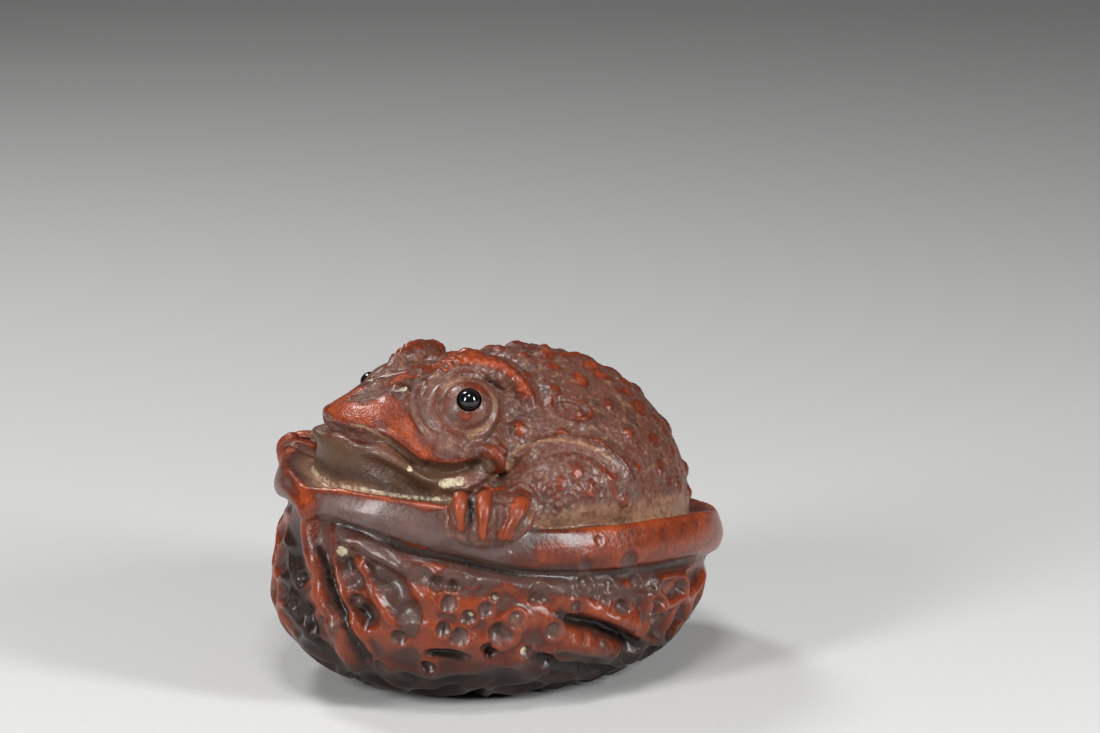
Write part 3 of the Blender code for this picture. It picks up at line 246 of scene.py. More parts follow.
# pits of the shell: right, up and radius
PITS = [
    (-11.6, 15.2, 1.7), (-8.8, 14.6, 1.4), (-9.4, 11.4, 1.8), (-5.8, 8.8, 1.6), (-2.7, 10.2, 1.7),
    (-0.7, 12.6, 1.0), (-10.5, 6.4, 1.6), (-7.5, 4.9, 2.0), (-27.1, 15.6, 2.2), (-27.0, 12.0, 1.6),
    (-37.2, 16.0, 1.6), (-18.9, 4.9, 1.7), (-30.9, 7.0, 1.5), (-38.7, 10.4, 1.3), (-29.3, 21.7, 1.7),
    (-13.2, -0.7, 1.3), (7.3, 13.1, 2.3), (16.4, 15.0, 1.7), (21.0, 14.6, 1.4), (26.1, 15.0, 1.9),
    (23.3, 10.4, 1.8), (34.4, 14.6, 1.7), (29.4, 8.7, 2.3), (3.3, 8.1, 1.8), (0.5, 5.5, 2.6),
    (10.5, 6.1, 1.9), (30.9, 4.5, 1.2), (5.1, 2.0, 1.5), (20.2, 3.5, 1.3), (-1.0, 2.1, 1.0),
    (28.8, 13.6, 1.1), (16.7, -0.9, 1.3), (37.7, 11.2, 1.2), (-31.2, 7.0, 1.5), (-22.2, -0.4, 1.6),
    (-38.8, 11.6, 1.4), (14.6, 10.6, 1.3), (20.1, 11.6, 1.2), (-13.4, -0.4, 1.5), (-5.0, 15.4, 1.2),
]

# how widely values are blurred over the faces, in square millimetres
NORMAL_BLUR = 1.8
FINE_BLUR = 2.2
BROAD_BLUR = 18

# the fine work: places seen from the same view, in the same millimetres
CLAW_RING_GAP = 0.55
SMOOTH_ROUND_EYE = (9.0, 6.5)  # the distances over which the pebbles fade out towards the eye
PEBBLE_SPACING = 1.35
PEBBLE_HEIGHT = 0.17
PEBBLE_SEED = 11
FINE_CELLS = [
    (4.2, 48.8, 0.85), (3.0, 49.9, 0.7), (4.4, 47.1, 0.75), (-10.9, 55.4, 0.7), (-7.6, 58.0, 0.8),
    (-5.6, 58.7, 0.75), (-3.6, 58.5, 0.8), (-1.6, 57.9, 0.75), (0.2, 56.9, 0.8), (1.9, 55.9, 0.7),
    (3.6, 54.9, 0.75), (5.0, 53.2, 0.75), (5.8, 51.6, 0.7),
]
NET_CELLS = [
    (8.0, 30.6, 0.8), (9.8, 30.9, 0.8), (11.6, 30.3, 0.8), (8.9, 29.1, 0.75), (10.8, 29.0, 0.8),
    (12.8, 29.4, 0.8), (9.6, 32.5, 0.7), (11.6, 32.2, 0.75), (13.4, 31.4, 0.8), (14.6, 33.8, 0.9),
    (16.8, 33.2, 0.9), (15.2, 31.6, 0.85), (17.4, 31.0, 0.85), (19.4, 32.2, 0.8),
]
HAND_WRINKLES = [
    [(-5.4, 25.0), (-5.2, 22.6), (-4.6, 21.2)],
    [(-0.6, 24.2), (-0.8, 22.2), (-0.4, 20.8)],
    [(1.6, 23.4), (2.2, 21.8), (3.4, 20.6)],
]
UNDER_EYE = [
    [(-9.4, 41.2), (-6.6, 39.9), (-3.2, 40.4)],
    [(-12.6, 40.4), (-9.8, 38.9), (-6.9, 38.4)],
    [(0.9, 42.4), (2.6, 44.2), (3.4, 46.4)],
]
BAND_DENTS = [(16.3, 18.8, 1.5, 0.5), (24.7, 19.6, 2.2, 0.9), (19.0, 23.2, 1.1, 0.25)]

# lines of colour: a painted highlight round the lid, the mouth's corner, and a painted highlight on the upper
# lip's edge along the groove under it
LID_RING_HIGHLIGHT = [
    (-11.8, 48.9), (-11.2, 51.2), (-9.0, 53.0), (-6.2, 53.4), (-3.2, 52.6), (-1.2, 50.6), (-0.5, 48.2),
    (-1.2, 45.6), (-3.4, 44.0), (-6.2, 43.6), (-9.2, 44.6), (-11.2, 46.6), (-11.8, 48.9),
]
MOUTH_SHADE = [(-15.6, 38.0), (-12.9, 36.6), (-9.5, 36.1), (-6.1, 36.6), (-2.7, 37.6)]
LIP_EDGE_HIGHLIGHT = [(-27.8, 45.3), (-25.0, 44.6), (-22.3, 43.1), (-19.5, 40.6), (-17.2, 38.8)]

# colour on the toad, a layer at a time: half width, strength and the line or point
TOAD_TINTS = {
    "worn": [
        (3.2, 0.9, [
            (-31.7, 47.8), (-28.1, 48.3), (-23.9, 48.2), (-20.3, 46.8), (-17.1, 44.0), (-14.0, 41.0),
        ]),
        (1.9, 0.9, [(-30.4, 48.8), (-26.9, 50.7), (-23.1, 52.8), (-18.6, 54.0), (-14.0, 54.0)]),
        (3.0, 0.8, [(-21.6, 49.9), (-19.0, 46.9), (-16.3, 42.7)]),
        (2.0, -0.8, [(-30.2, 51.6), (-27.0, 54.2), (-23.0, 56.2), (-19.0, 58.0)]),
        (2.2, -0.6, [(-14.6, 43.6), (-12.4, 41.6), (-9.6, 40.4)]),
        # the red is wiped for a painted highlight along the snout
        (1.5, -0.9, [(-27.1, 50.1), (-24.2, 52.0), (-21.3, 53.8), (-18.3, 55.6), (-15.3, 57.5)]),
        (5.0, -0.85, [(-7.5, 48.8), (-6.0, 48.6), (-4.0, 48.6)]),
        (2.1, 0.75, [
            (-12.9, 55.6), (-9.9, 57.3), (-6.3, 58.3), (-1.9, 57.7), (1.9, 56.0), (4.4, 53.7), (5.7, 51.0),
        ]),
        (2.6, -0.6, [(-20.6, 58.6), (-18.0, 60.6), (-15.0, 61.4), (-12.6, 60.6)]),
        (1.2, 0.9, [(3.8, 45.4), (4.4, 43.1)]),
        (2.6, -0.95, [
            (-31.0, 41.5), (-27.0, 41.0), (-23.0, 40.2), (-20.0, 38.6), (-17.0, 36.8), (-14.0, 34.9),
            (-10.0, 33.6), (-6.0, 33.6),
        ]),
        (1.6, -0.7, [(-6.0, 33.6), (-3.0, 35.2), (-1.6, 37.4)]),
        (0.9, 0.5, [(-28.8, 42.3), (-25.0, 41.7)]),
        (1.5, 0.95, [(-6.3, 57.6), (-1.9, 57.2), (1.9, 55.6), (4.4, 53.3), (5.6, 51.2)]),
        (1.4, -1.0, [(-28.0, 43.2), (-24.6, 42.7), (-21.6, 41.4), (-18.8, 39.2), (-16.4, 37.4)]),
        (1.3, 0.8, [(-2.3, 39.5), (-0.2, 39.1)]),
        (1.1, 1.0, [(-2.3, 32.9), (0.8, 33.0)]),
        (1.2, 0.7, [(-7.2, 47.2), (-6.0, 46.8)]),
        (1.1, 0.5, [(-2.6, 49.6), (-2.3, 48.2)]),
        (2.6, -0.75, ARM_FOLD[:8]),
        (1.3, 0.75, [(15.0, 35.9)]),
        (1.4, 0.7, [(20.0, 36.8)]),
        (1.1, 0.6, [(18.3, 35.0), (17.6, 34.2)]),
        (1.2, 0.7, [(21.5, 33.6), (22.4, 31.8)]),
        (1.1, -0.9, [(6.4, 31.0), (5.8, 27.0), (3.4, 23.6)]),
        (1.2, -1.0, [(-19.2, 51.5), (-17.5, 52.3)]),
        # the red is wiped for the painted highlight on the upper lip's edge
        (0.6, -0.8, LIP_EDGE_HIGHLIGHT),
    ],
    "olive": [
        # painted highlight: an olive stripe along the snout
        (1.4, 0.5, [(-26.4, 50.6), (-24.2, 52.0), (-21.3, 53.8), (-18.3, 55.6), (-16.0, 57.0)]),
        (1.6, 1.0, MOUTH_SHADE),
    ],
    "tan": [
        # painted highlight: a light ring round the lid
        (0.8, 0.7, LID_RING_HIGHLIGHT),
        (2.8, 0.85, [(8.9, 26.6), (15.6, 27.5), (23.1, 28.5), (30.7, 29.4), (38.3, 30.6), (42.5, 31.7)]),
        # painted highlight along the lip of the arm's fold
        (0.5, 0.9, [
            (2.3, 39.1), (4.0, 40.4), (6.8, 41.7), (10.6, 42.3), (15.2, 41.7), (19.0, 40.2), (21.6, 38.3),
        ]),
        (1.6, 0.7, [(-1.0, 35.6), (1.6, 37.0), (3.0, 38.6)]),
        (1.5, 0.8, [(-31.4, 34.6), (-26.0, 33.2), (-20.0, 32.2), (-13.0, 31.2)]),
        # painted highlight along the upper lip's edge
        (0.7, 0.9, LIP_EDGE_HIGHLIGHT),
    ],
    "cream": [
        (0.9, 0.55, [
            (-31.9, 34.3), (-29.0, 33.6), (-24.3, 32.6), (-19.0, 31.7), (-13.7, 31.1), (-9.1, 31.3),
        ]),
        (1.5, 0.8, [(-10.4, 34.0), (-8.9, 34.2), (-7.2, 34.6)]),
        (0.5, 1.0, [(-3.4, 36.2)]),
        (0.9, 1.0, [(-16.7, 36.8)]),
        (0.5, 0.4, [(-23.9, 40.4), (-21.4, 39.8), (-19.4, 38.3), (-17.6, 37.0)]),
        (0.9, 0.65, [(-19.1, 51.6), (-17.6, 52.2)]),
    ],
    "deep": [
        # painted shade inside the nostril
        (1.7, 0.6, [(-19.4, 51.4), (-17.3, 52.4)]),
        (1.8, -0.6, MOUTH_SHADE),
        # painted shade down the throat under the jaw
        (2.6, 0.45, [(-31.0, 36.0), (-26.0, 35.2), (-20.0, 33.4), (-14.0, 31.8)]),
        # painted shadow under the upper lip's edge
        (0.8, 0.5, [(-30.0, 44.6), (-25.8, 44.0), (-22.4, 42.7), (-19.4, 40.2), (-16.3, 38.0)]),
        # painted shade in the groove between two claws
        (0.6, 0.9, [(-5.3, 32.4), (-5.1, 29.5), (-4.9, 26.8)]),
    ],
}
OLIVE = [(-32.0, 39.0), (-27.0, 38.4), (-22.0, 36.6), (-17.0, 34.4), (-12.5, 32.8)]
RED_WARTS = [
    (3.4, 58.6, 1.6), (9.3, 58.8, 2.2), (9.9, 56.4, 1.8), (16.1, 53.7, 2.2), (17.5, 56.5, 2.0),
    (19.4, 54.6, 1.8), (27.1, 48.4, 2.2), (31.5, 44.4, 2.2), (29.8, 42.3, 1.9), (24.9, 43.6, 1.5),
    (21.1, 49.1, 1.7), (30.7, 37.4, 1.4), (33.8, 35.9, 1.4), (17.5, 47.2, 1.3), (24.7, 51.4, 1.5),
    (21.3, 59.0, 2.2), (32.3, 34.3, 1.3), (36.4, 41.9, 1.5), (14.0, 58.6, 1.8),
]

# colour on the shell, in the same way
SHELL_TINTS = {
    "worn": [
        (2.0, 0.9, [(-37.0, 33.4), (-36.4, 31.2)]),
        (2.2, 0.6, [(-36.4, 31.0), (-35.9, 27.9), (-34.7, 25.2)]),
        (0.9, 0.8, [
            (-34.2, 33.4), (-30.0, 32.9), (-24.3, 31.9), (-18.6, 30.8), (-12.9, 29.8), (-10.2, 29.6),
        ]),
        (3.2, -0.85, [(-32.0, 29.4), (-26.0, 28.0), (-20.0, 26.4), (-13.0, 24.6), (-6.0, 22.4)]),
        (3.6, 0.72, [(9.5, 20.9), (14.0, 20.5), (19.7, 21.1), (27.3, 22.4), (34.9, 23.7), (41.4, 25.2)]),
        (0.8, 0.9, [(-17.6, 22.8), (-13.9, 21.8)]),
        (1.8, -0.45, [
            (-36.4, 23.3), (-35.1, 19.7), (-33.6, 16.3), (-32.1, 12.9), (-32.0, 8.2), (-31.4, 2.5),
        ]),
        (1.2, 0.8, [
            (-26.2, 19.5), (-24.9, 16.7), (-23.7, 14.0), (-22.2, 11.2), (-19.9, 9.1), (-16.7, 7.4),
        ]),
        (2.0, 0.9, HOLLOW_RIM),
        (3.0, -0.85, FRONT_HOLLOW),
        (2.6, -0.8, [
            (-30.0, 24.6), (-26.4, 22.6), (-23.9, 21.0), (-20.0, 19.0), (-15.0, 16.6), (-9.0, 15.6),
        ]),
        (2.6, -0.85, [(-9.0, 16.6), (-3.4, 16.4), (2.3, 15.8), (8.0, 15.0), (14.0, 14.4), (22.0, 15.0)]),
        (2.0, -0.7, [(19.4, 13.5), (25.0, 12.9), (28.8, 12.6), (30.6, 15.0)]),
        (1.6, -0.6, [(16.3, 18.4), (16.3, 17.0)]),
        (2.4, -0.65, [(24.7, 19.4), (24.9, 17.0)]),
        (1.6, 0.8, [(1.5, 14.2), (5.1, 12.2), (9.1, 10.4), (15.2, 8.9)]),
        (1.7, 0.8, [(10.1, 4.1), (15.0, 2.8), (20.2, 1.4)]),
        (1.4, 0.8, [(20.6, 9.4), (23.8, 7.4), (26.8, 5.4)]),
        (1.5, 0.8, [(24.6, 8.8), (26.8, 10.7), (30.9, 12.9), (34.0, 16.0)]),
        (1.6, 0.9, [(-14.6, 12.6), (-13.6, 8.4), (-14.8, 3.6)]),
        (1.4, 0.7, [(-4.0, 6.0), (-5.0, 2.8), (-8.0, 2.8)]),
    ],
    "deep": [
        (3.6, -0.9, FRONT_HOLLOW),
        # painted shade, with tea in it, in the groove under the band, the valley beside the seam, a pit, and
        # the holes, gullies and slot below
        (1.2, 0.6, [
            (-31.7, 26.9), (-27.7, 25.7), (-23.9, 24.5), (-20.3, 23.1), (-17.1, 21.6), (-13.1, 20.1),
        ]),
        (1.1, 0.55, [(-13.1, 20.1), (-7.2, 19.2), (0.4, 17.8), (9.5, 16.7)]),
        (0.8, 0.4, [(9.5, 16.7), (19.4, 16.6), (28.8, 17.5), (38.3, 19.4)]),
        (1.2, 0.8, [
            (-34.2, 22.0), (-32.6, 18.2), (-31.1, 13.9), (-29.6, 10.1), (-27.7, 5.1), (-25.8, 1.5),
        ]),
        (1.9, 0.6, [(-26.9, 15.7)]),
        (1.2, 1.0, [(-12.7, 2.5), (-10.2, 2.1), (-8.0, 1.3)]),
        (1.0, 1.0, [(-2.3, 2.5)]),
        (1.6, 0.9, GULLIES[0]),
        (1.4, 0.8, GULLIES[3]),
        (1.5, 0.9, LONG_SLOT),
    ],
    "low": [
        # the wall darker over the shell's left flank
        (7.0, 0.8, [(-39.0, 22.0), (-39.5, 16.0), (-38.5, 9.0), (-36.0, 4.0), (-32.0, 0.0)]),
    ],
    "cream": [
        (1.5, 1.0, [(-29.6, 21.4)]),
        (0.5, 0.38, [(-31.3, 16.1), (-30.2, 12.7), (-29.0, 9.5), (-27.8, 6.3), (-26.2, 3.0)]),
        (0.8, 0.8, [(-5.3, 9.3)]),
        (0.8, 0.8, [(-0.8, 12.5)]),
        (0.5, 0.8, [(3.4, 8.9)]),
        (1.2, 0.85, [(4.4, 2.4)]),
        (0.9, 0.7, [(36.8, 11.2)]),
    ],
}

# lamps: azimuth and elevation in degrees, distance, width and height in metres, and watts
LAMPS = [
    ("left_box", 8, 24, 0.60, 0.11, 0.26, 2.9),
    ("right_box", 112, 25, 0.60, 0.11, 0.26, 3.1),
    ("top_box", 50, 66, 0.70, 0.18, 0.18, 2.0),
    ("far_box", -80, 50, 0.70, 0.15, 0.15, 2.2),
]
ROOM_COLOUR = (0.85, 0.82, 0.80, 1.0)
ROOM_STRENGTH = 0.04

# the camera's sensor in millimetres, then the picture's size, what a metre measures in it and where
# the foot's middle falls
SENSOR_WIDTH = 36.0
PICTURE_WIDTH = 1100
PICTURE_HEIGHT = 733
PIXELS_PER_METRE = 5270
FOOT_X = 498
FOOT_Y = 661


# numbers

def eased(low, high, value):
    """0 below low, 1 above high, and a smooth rise between."""
    share = np.clip((np.asarray(value, float) - low) / (high - low), 0.0, 1.0)
    return share * share * (3 - 2 * share)


def bell(offset, width):
    """1 where the offset is nought, and a smooth fall to both sides."""
    return np.exp(-(offset / width) ** 2)


def curve_through(points, steps):
    """Points of one smooth curve (Catmull-Rom) through those given."""
    given = np.asarray(points, float)
    given = np.vstack([2 * given[0] - given[1], given, 2 * given[-1] - given[-2]])
    found = []
    for i in range(1, len(given) - 2):
        before, start, end, after = given[i - 1:i + 3]
        for t in np.arange(steps) / steps:
            found.append(0.5 * (
                2 * start
                + (end - before) * t
                + (2 * before - 5 * start + 4 * end - after) * t ** 2
                + (3 * start - before - 3 * end + after) * t ** 3
            ))
    found.append(given[-2])
    return np.array(found)


def stretched(x, y, z):
    return Vector((x * STRETCH.x, y * STRETCH.y, z * STRETCH.z))


def direction(turn, lift):
    """A unit vector: turn runs round from the front, and lift up from level."""
    return Vector((math.sin(turn) * math.cos(lift), -math.cos(turn) * math.cos(lift), math.sin(lift)))


def tree_of(places):
    tree = KDTree(len(places))
    for number, place in enumerate(places):
        tree.insert(place, number)
    tree.balance()
    return tree


# rough forms, which the fusing below makes one

def add_ellipsoid(bm, centre, radii, heading=0.0, detail=4):
    place = Matrix.Translation(stretched(*centre)) @ Matrix.Rotation(math.radians(heading), 4, "Z")
    place = place @ Matrix.Diagonal((*stretched(*radii), 1.0))
    bmesh.ops.create_icosphere(bm, subdivisions=detail, radius=1.0, matrix=place)


def add_limb(bm, stations):
    """Balls along a smooth line, close enough to fuse into a limb. A station is a place and a radius."""
    last_place, last_radius = None, 0.0
    for x, y, z, radius in curve_through(stations, 8):
        place = stretched(x, y, z)
        if last_place is not None and (place - last_place).length < 0.22 * min(radius, last_radius):
            continue
        bmesh.ops.create_icosphere(bm, subdivisions=3, radius=radius, matrix=Matrix.Translation(place))
        last_place, last_radius = place, radius


def add_loft(bm, rings):
    """A closed form through rings that run anticlockwise seen from above, given from the bottom up."""
    rows = [[bm.verts.new(point) for point in ring] for ring in rings]
    count = len(rows[0])
    for low, high in zip(rows, rows[1:]):
        for i in range(count):
            j = (i + 1) % count
            bm.faces.new((low[i], low[j], high[j], high[i]))
    bottom = bm.verts.new(sum((v.co for v in rows[0]), Vector()) / count)
    top = bm.verts.new(sum((v.co for v in rows[-1]), Vector()) / count)
    for i in range(count):
        j = (i + 1) % count
        bm.faces.new((rows[0][j], rows[0][i], bottom))
        bm.faces.new((rows[-1][i], rows[-1][j], top))


def from_front(degrees):
    return abs((degrees + 180.0) % 360.0 - 180.0)


def turned_from_front(x, y):
    """The angle that the shell's sections are drawn by, in degrees."""
    return math.degrees(math.atan2(x / SHELL_WIDTH, -y / SHELL_LENGTH))


def rim_height(degrees):
    return float(np.interp(from_front(degrees), RIM_ANGLES, RIM_HEIGHTS)) * STRETCH.z


def band_height(degrees):
    return BAND_HEIGHT_AT_TIP + (BAND_HEIGHT - BAND_HEIGHT_AT_TIP) * float(eased(6, 38, from_front(degrees)))


def neck_height(degrees):
    """Where the band ends and the walnut's wall begins."""
    return rim_height(degrees) - band_height(degrees)


def rim_point(degrees):
    """The rim's outline: an ellipse with a low keel at the walnut's tip."""
    angle = math.radians(degrees)
    keel = KEEL_HEIGHT * math.exp(-(from_front(degrees) / 7.0) ** 2)
    return Vector((SHELL_WIDTH / 2 * math.sin(angle), -SHELL_LENGTH / 2 * math.cos(angle) - keel, 0.0))


def shell_section(degrees):
    """The shell's outside at one angle, from the foot's edge up over the band to the ledge."""
    outline = rim_point(degrees)
    reach = outline.length
    front = math.cos(math.radians(degrees))
    rim = rim_height(degrees)
    band = band_height(degrees)
    neck = neck_height(degrees)
    wall = [(share + more * front, z * STRETCH.z) for z, share, more in WALL]
    belly, belly_height = wall[-1]
    under_band = 1.0 - BAND_OVERHANG / reach
    out = TAIL_SWELL * math.exp(-((from_front(degrees) - 150) / 30.0) ** 2)
    top_of_belly = min(belly_height, neck - 1.6)
    wall[-1] = (belly, top_of_belly)
    section = wall + [
        (0.5 * (belly + under_band), top_of_belly + 0.55 * (neck - top_of_belly)),
        (under_band, neck),
        (1.0 + (out - 0.7) / reach, neck + 0.12 * band),
        (1.0 + out / reach, neck + 0.26 * band),
        (1.0 + (out + 0.4) / reach, neck + 0.42 * band),
        (1.0 + (out + 0.1) / reach, neck + 0.62 * band),
        (1.0 + (out - 0.5) / reach, rim - 1.6),
        (1.0 + (out - 1.0) / reach, rim - 0.5),
        (1.0 + (out - 1.7) / reach, rim),
        (1.0 + (out - 2.6) / reach, rim - 0.3),
        (1.0 - LEDGE_WIDTH / reach, rim - 1.6),
        (0.7, rim - 1.8),
    ]
    return [Vector((outline.x * share, outline.y * share, z)) for share, z in section]


def add_shell(bm, count=180):
    sections = [shell_section(360.0 * k / count) for k in range(count)]
    add_loft(bm, [[section[level] for section in sections] for level in range(len(sections[0]))])


def head_ring(width, front, back, hub, height, count=96):
    """A ring round the head about the point (0, hub): height is called with degrees from the front."""
    ring = []
    for k in range(count):
        turn = 2 * math.pi * k / count
        reach = front if math.cos(turn) > 0 else back
        degrees = from_front(math.degrees(turn))
        ring.append(stretched(width * math.sin(turn), hub - reach * math.cos(turn), height(degrees)))
    return ring


def lip_height(degrees):
    """The upper lip's edge: a low cusp beside the middle, then down to the mouth's corner."""
    front = LIP_FRONT_HEIGHT - 0.9 * math.exp(-((degrees - 16) / 8.0) ** 2)
    fall = 1 - float(eased(28, 58, degrees))
    return LIP_SIDE_HEIGHT + (front - LIP_SIDE_HEIGHT) * fall + 0.8 * float(eased(72, 92, degrees))


def crown_height(y):
    """The head's top line, which climbs from the snout and levels off between the brows."""
    climb = min(y + 34.7, 16.0) + 4.0 * math.tanh(max(y + 18.7, 0.0) / 8.0)
    return SNOUT_HEIGHT + SNOUT_SLOPE * climb


def add_upper_head(bm):
    """From the upper lip's edge to the crown."""
    rings = [
        head_ring(0.7 * LIP_WIDTH, 0.7 * LIP_FRONT, 0.7 * LIP_BACK, LIP_HUB, lambda d: lip_height(d) + 0.4),
        head_ring(LIP_WIDTH - 0.8, LIP_FRONT - 0.8, LIP_BACK, LIP_HUB, lambda d: lip_height(d) - 0.2),
    ]
    for climb in (0.05, 0.15, 0.3, 0.45, 0.6, 0.75, 0.88, 1.0):
        bulge = 1.6 * math.sin(math.pi * min(1.0, 1.05 * climb))
        width = LIP_WIDTH + (CROWN_WIDTH - LIP_WIDTH) * climb + bulge
        front = LIP_FRONT + (CROWN_FRONT - LIP_FRONT) * climb + 0.6 * bulge
        back = LIP_BACK + (CROWN_BACK - LIP_BACK) * climb
        hub = LIP_HUB + (CROWN_HUB - LIP_HUB) * climb

        def height(degrees, climb=climb):
            reach = CROWN_FRONT if degrees < 90 else CROWN_BACK
            crown = crown_height(CROWN_HUB - reach * math.cos(math.radians(degrees)))
            return lip_height(degrees) + (crown - lip_height(degrees)) * climb ** 0.9

        rings.append(head_ring(width, front, back, hub, height))
    inner_front = 0.72 * CROWN_FRONT

    def inner_height(degrees):
        return crown_height(CROWN_HUB - inner_front * math.cos(math.radians(degrees))) + 0.4

    rings.append(head_ring(0.5 * CROWN_WIDTH, inner_front, 0.5 * CROWN_BACK, CROWN_HUB, inner_height))
    add_loft(bm, rings)


def add_jaw(bm):
    """From the throat up under the upper lip, with the lower lip's swelling."""
    profile = [
        (0.0, 0.2), (0.15, 0.6), (0.3, 0.9), (0.42, 0.9), (0.54, 0.8), (0.65, 0.7),
        (0.75, 0.5), (0.83, 0.1), (0.9, -0.5), (0.96, -1.3), (1.02, -3.0),
    ]
    rings = []
    for climb, out in profile:
        def height(degrees, climb=climb):
            return THROAT_HEIGHT + (lip_height(degrees) + 1.0 - THROAT_HEIGHT) * climb
        rings.append(head_ring(JAW_WIDTH + out, JAW_FRONT + out, JAW_BACK, LIP_HUB, height))
    add_loft(bm, rings)


def add_side_of_toad(bm, side):
    """The eyeball, brow, arm and hand of one side: side is 1 for the left and -1 for the right."""
    add_ellipsoid(bm, (side * 11.9, -15.7, 53.7), (6.6, 6.6, 6.4))
    brow = [
        (5.6, -22.0, 57.2, 1.5), (7.6, -17.5, 59.7, 2.1), (8.6, -12.8, 60.8, 2.4),
        (10.5, -8.0, 59.6, 2.2), (13.8, -4.5, 56.4, 1.9), (16.0, -3.5, 53.0, 1.5),
    ]
    add_limb(bm, [(side * x, y, z, radius) for x, y, z, radius in brow])
    add_ellipsoid(bm, (side * 23.6, -1.0, 38.3), (9.4, 15.4, 10.8))
    add_ellipsoid(bm, (side * 25.2, -13.5, 37.3), (6.0, 9.0, 5.6))
    add_ellipsoid(bm, (side * 26.6, -21.0, 39.4), (3.6, 6.6, 2.8), heading=-28 * side)
    add_ellipsoid(bm, (side * 30.3, -24.4, 37.6), (2.2, 7.2, 4.4), heading=-28 * side)
    add_ellipsoid(bm, (side * 20.0, -15.2, 46.6), (2.6, 2.8, 2.9))
    for finger in FINGERS:
        add_limb(bm, [(side * x, y, z, share * FINGER_RADIUS) for x, y, z, share in finger])


def add_toad(bm):
    add_ellipsoid(bm, (0, 5.0, 29.2), (30.6, 33.2, 31.2), detail=5)
    add_ellipsoid(bm, (0, -6.0, 48.3), (17.5, 14.0, 12.4))
    add_upper_head(bm)
    add_jaw(bm)
    for side in (1, -1):
        add_side_of_toad(bm, side)


def settle(obj):
    """Makes the mesh what its modifiers leave, and drops them."""
    graph = bpy.context.evaluated_depsgraph_get()
    mesh = bpy.data.meshes.new_from_object(obj.evaluated_get(graph))
    obj.modifiers.clear()
    obj.data = mesh


def link_mesh(name, bm):
    mesh = bpy.data.meshes.new(name)
    bm.to_mesh(mesh)
    bm.free()
    obj = bpy.data.objects.new(name, mesh)
    bpy.context.scene.collection.objects.link(obj)
    return obj


def keep_largest_piece(mesh):
    """Drops any closed pocket that the fusing left inside."""
    bm = bmesh.new()
    bm.from_mesh(mesh)
    waiting = set(bm.verts)
    pieces = []
    while waiting:
        edge_of_search = [waiting.pop()]
        piece = list(edge_of_search)
        while edge_of_search:
            for edge in edge_of_search.pop().link_edges:
                for vert in edge.verts:
                    if vert in waiting:
                        waiting.remove(vert)
                        piece.append(vert)
                        edge_of_search.append(vert)
        pieces.append(piece)
    pieces.sort(key=len)
    for piece in pieces[:-1]:
        bmesh.ops.delete(bm, geom=piece, context="VERTS")
    bm.to_mesh(mesh)
    bm.free()


def fused_form():
    """The shell and the toad as one closed skin of even, small faces."""
    bm = bmesh.new()
    add_shell(bm)
    add_toad(bm)
    obj = link_mesh("toad_in_walnut", bm)
    remesh = obj.modifiers.new("Fuse", "REMESH")
    remesh.mode = "VOXEL"
    remesh.voxel_size = VOXEL
    remesh.adaptivity = 0.0
    soften = obj.modifiers.new("Soften", "SMOOTH")
    soften.factor = 0.5
    soften.iterations = max(1, round(SOFTENING / VOXEL ** 2))
    settle(obj)
    keep_largest_piece(obj.data)
    return obj


# carving

def view_axes():
    azimuth = math.radians(VIEW_AZIMUTH)
    right = Vector((math.cos(azimuth), math.sin(azimuth), 0.0))
    back = direction(azimuth, math.radians(VIEW_ELEVATION))
    return right, back, right.cross(-back)


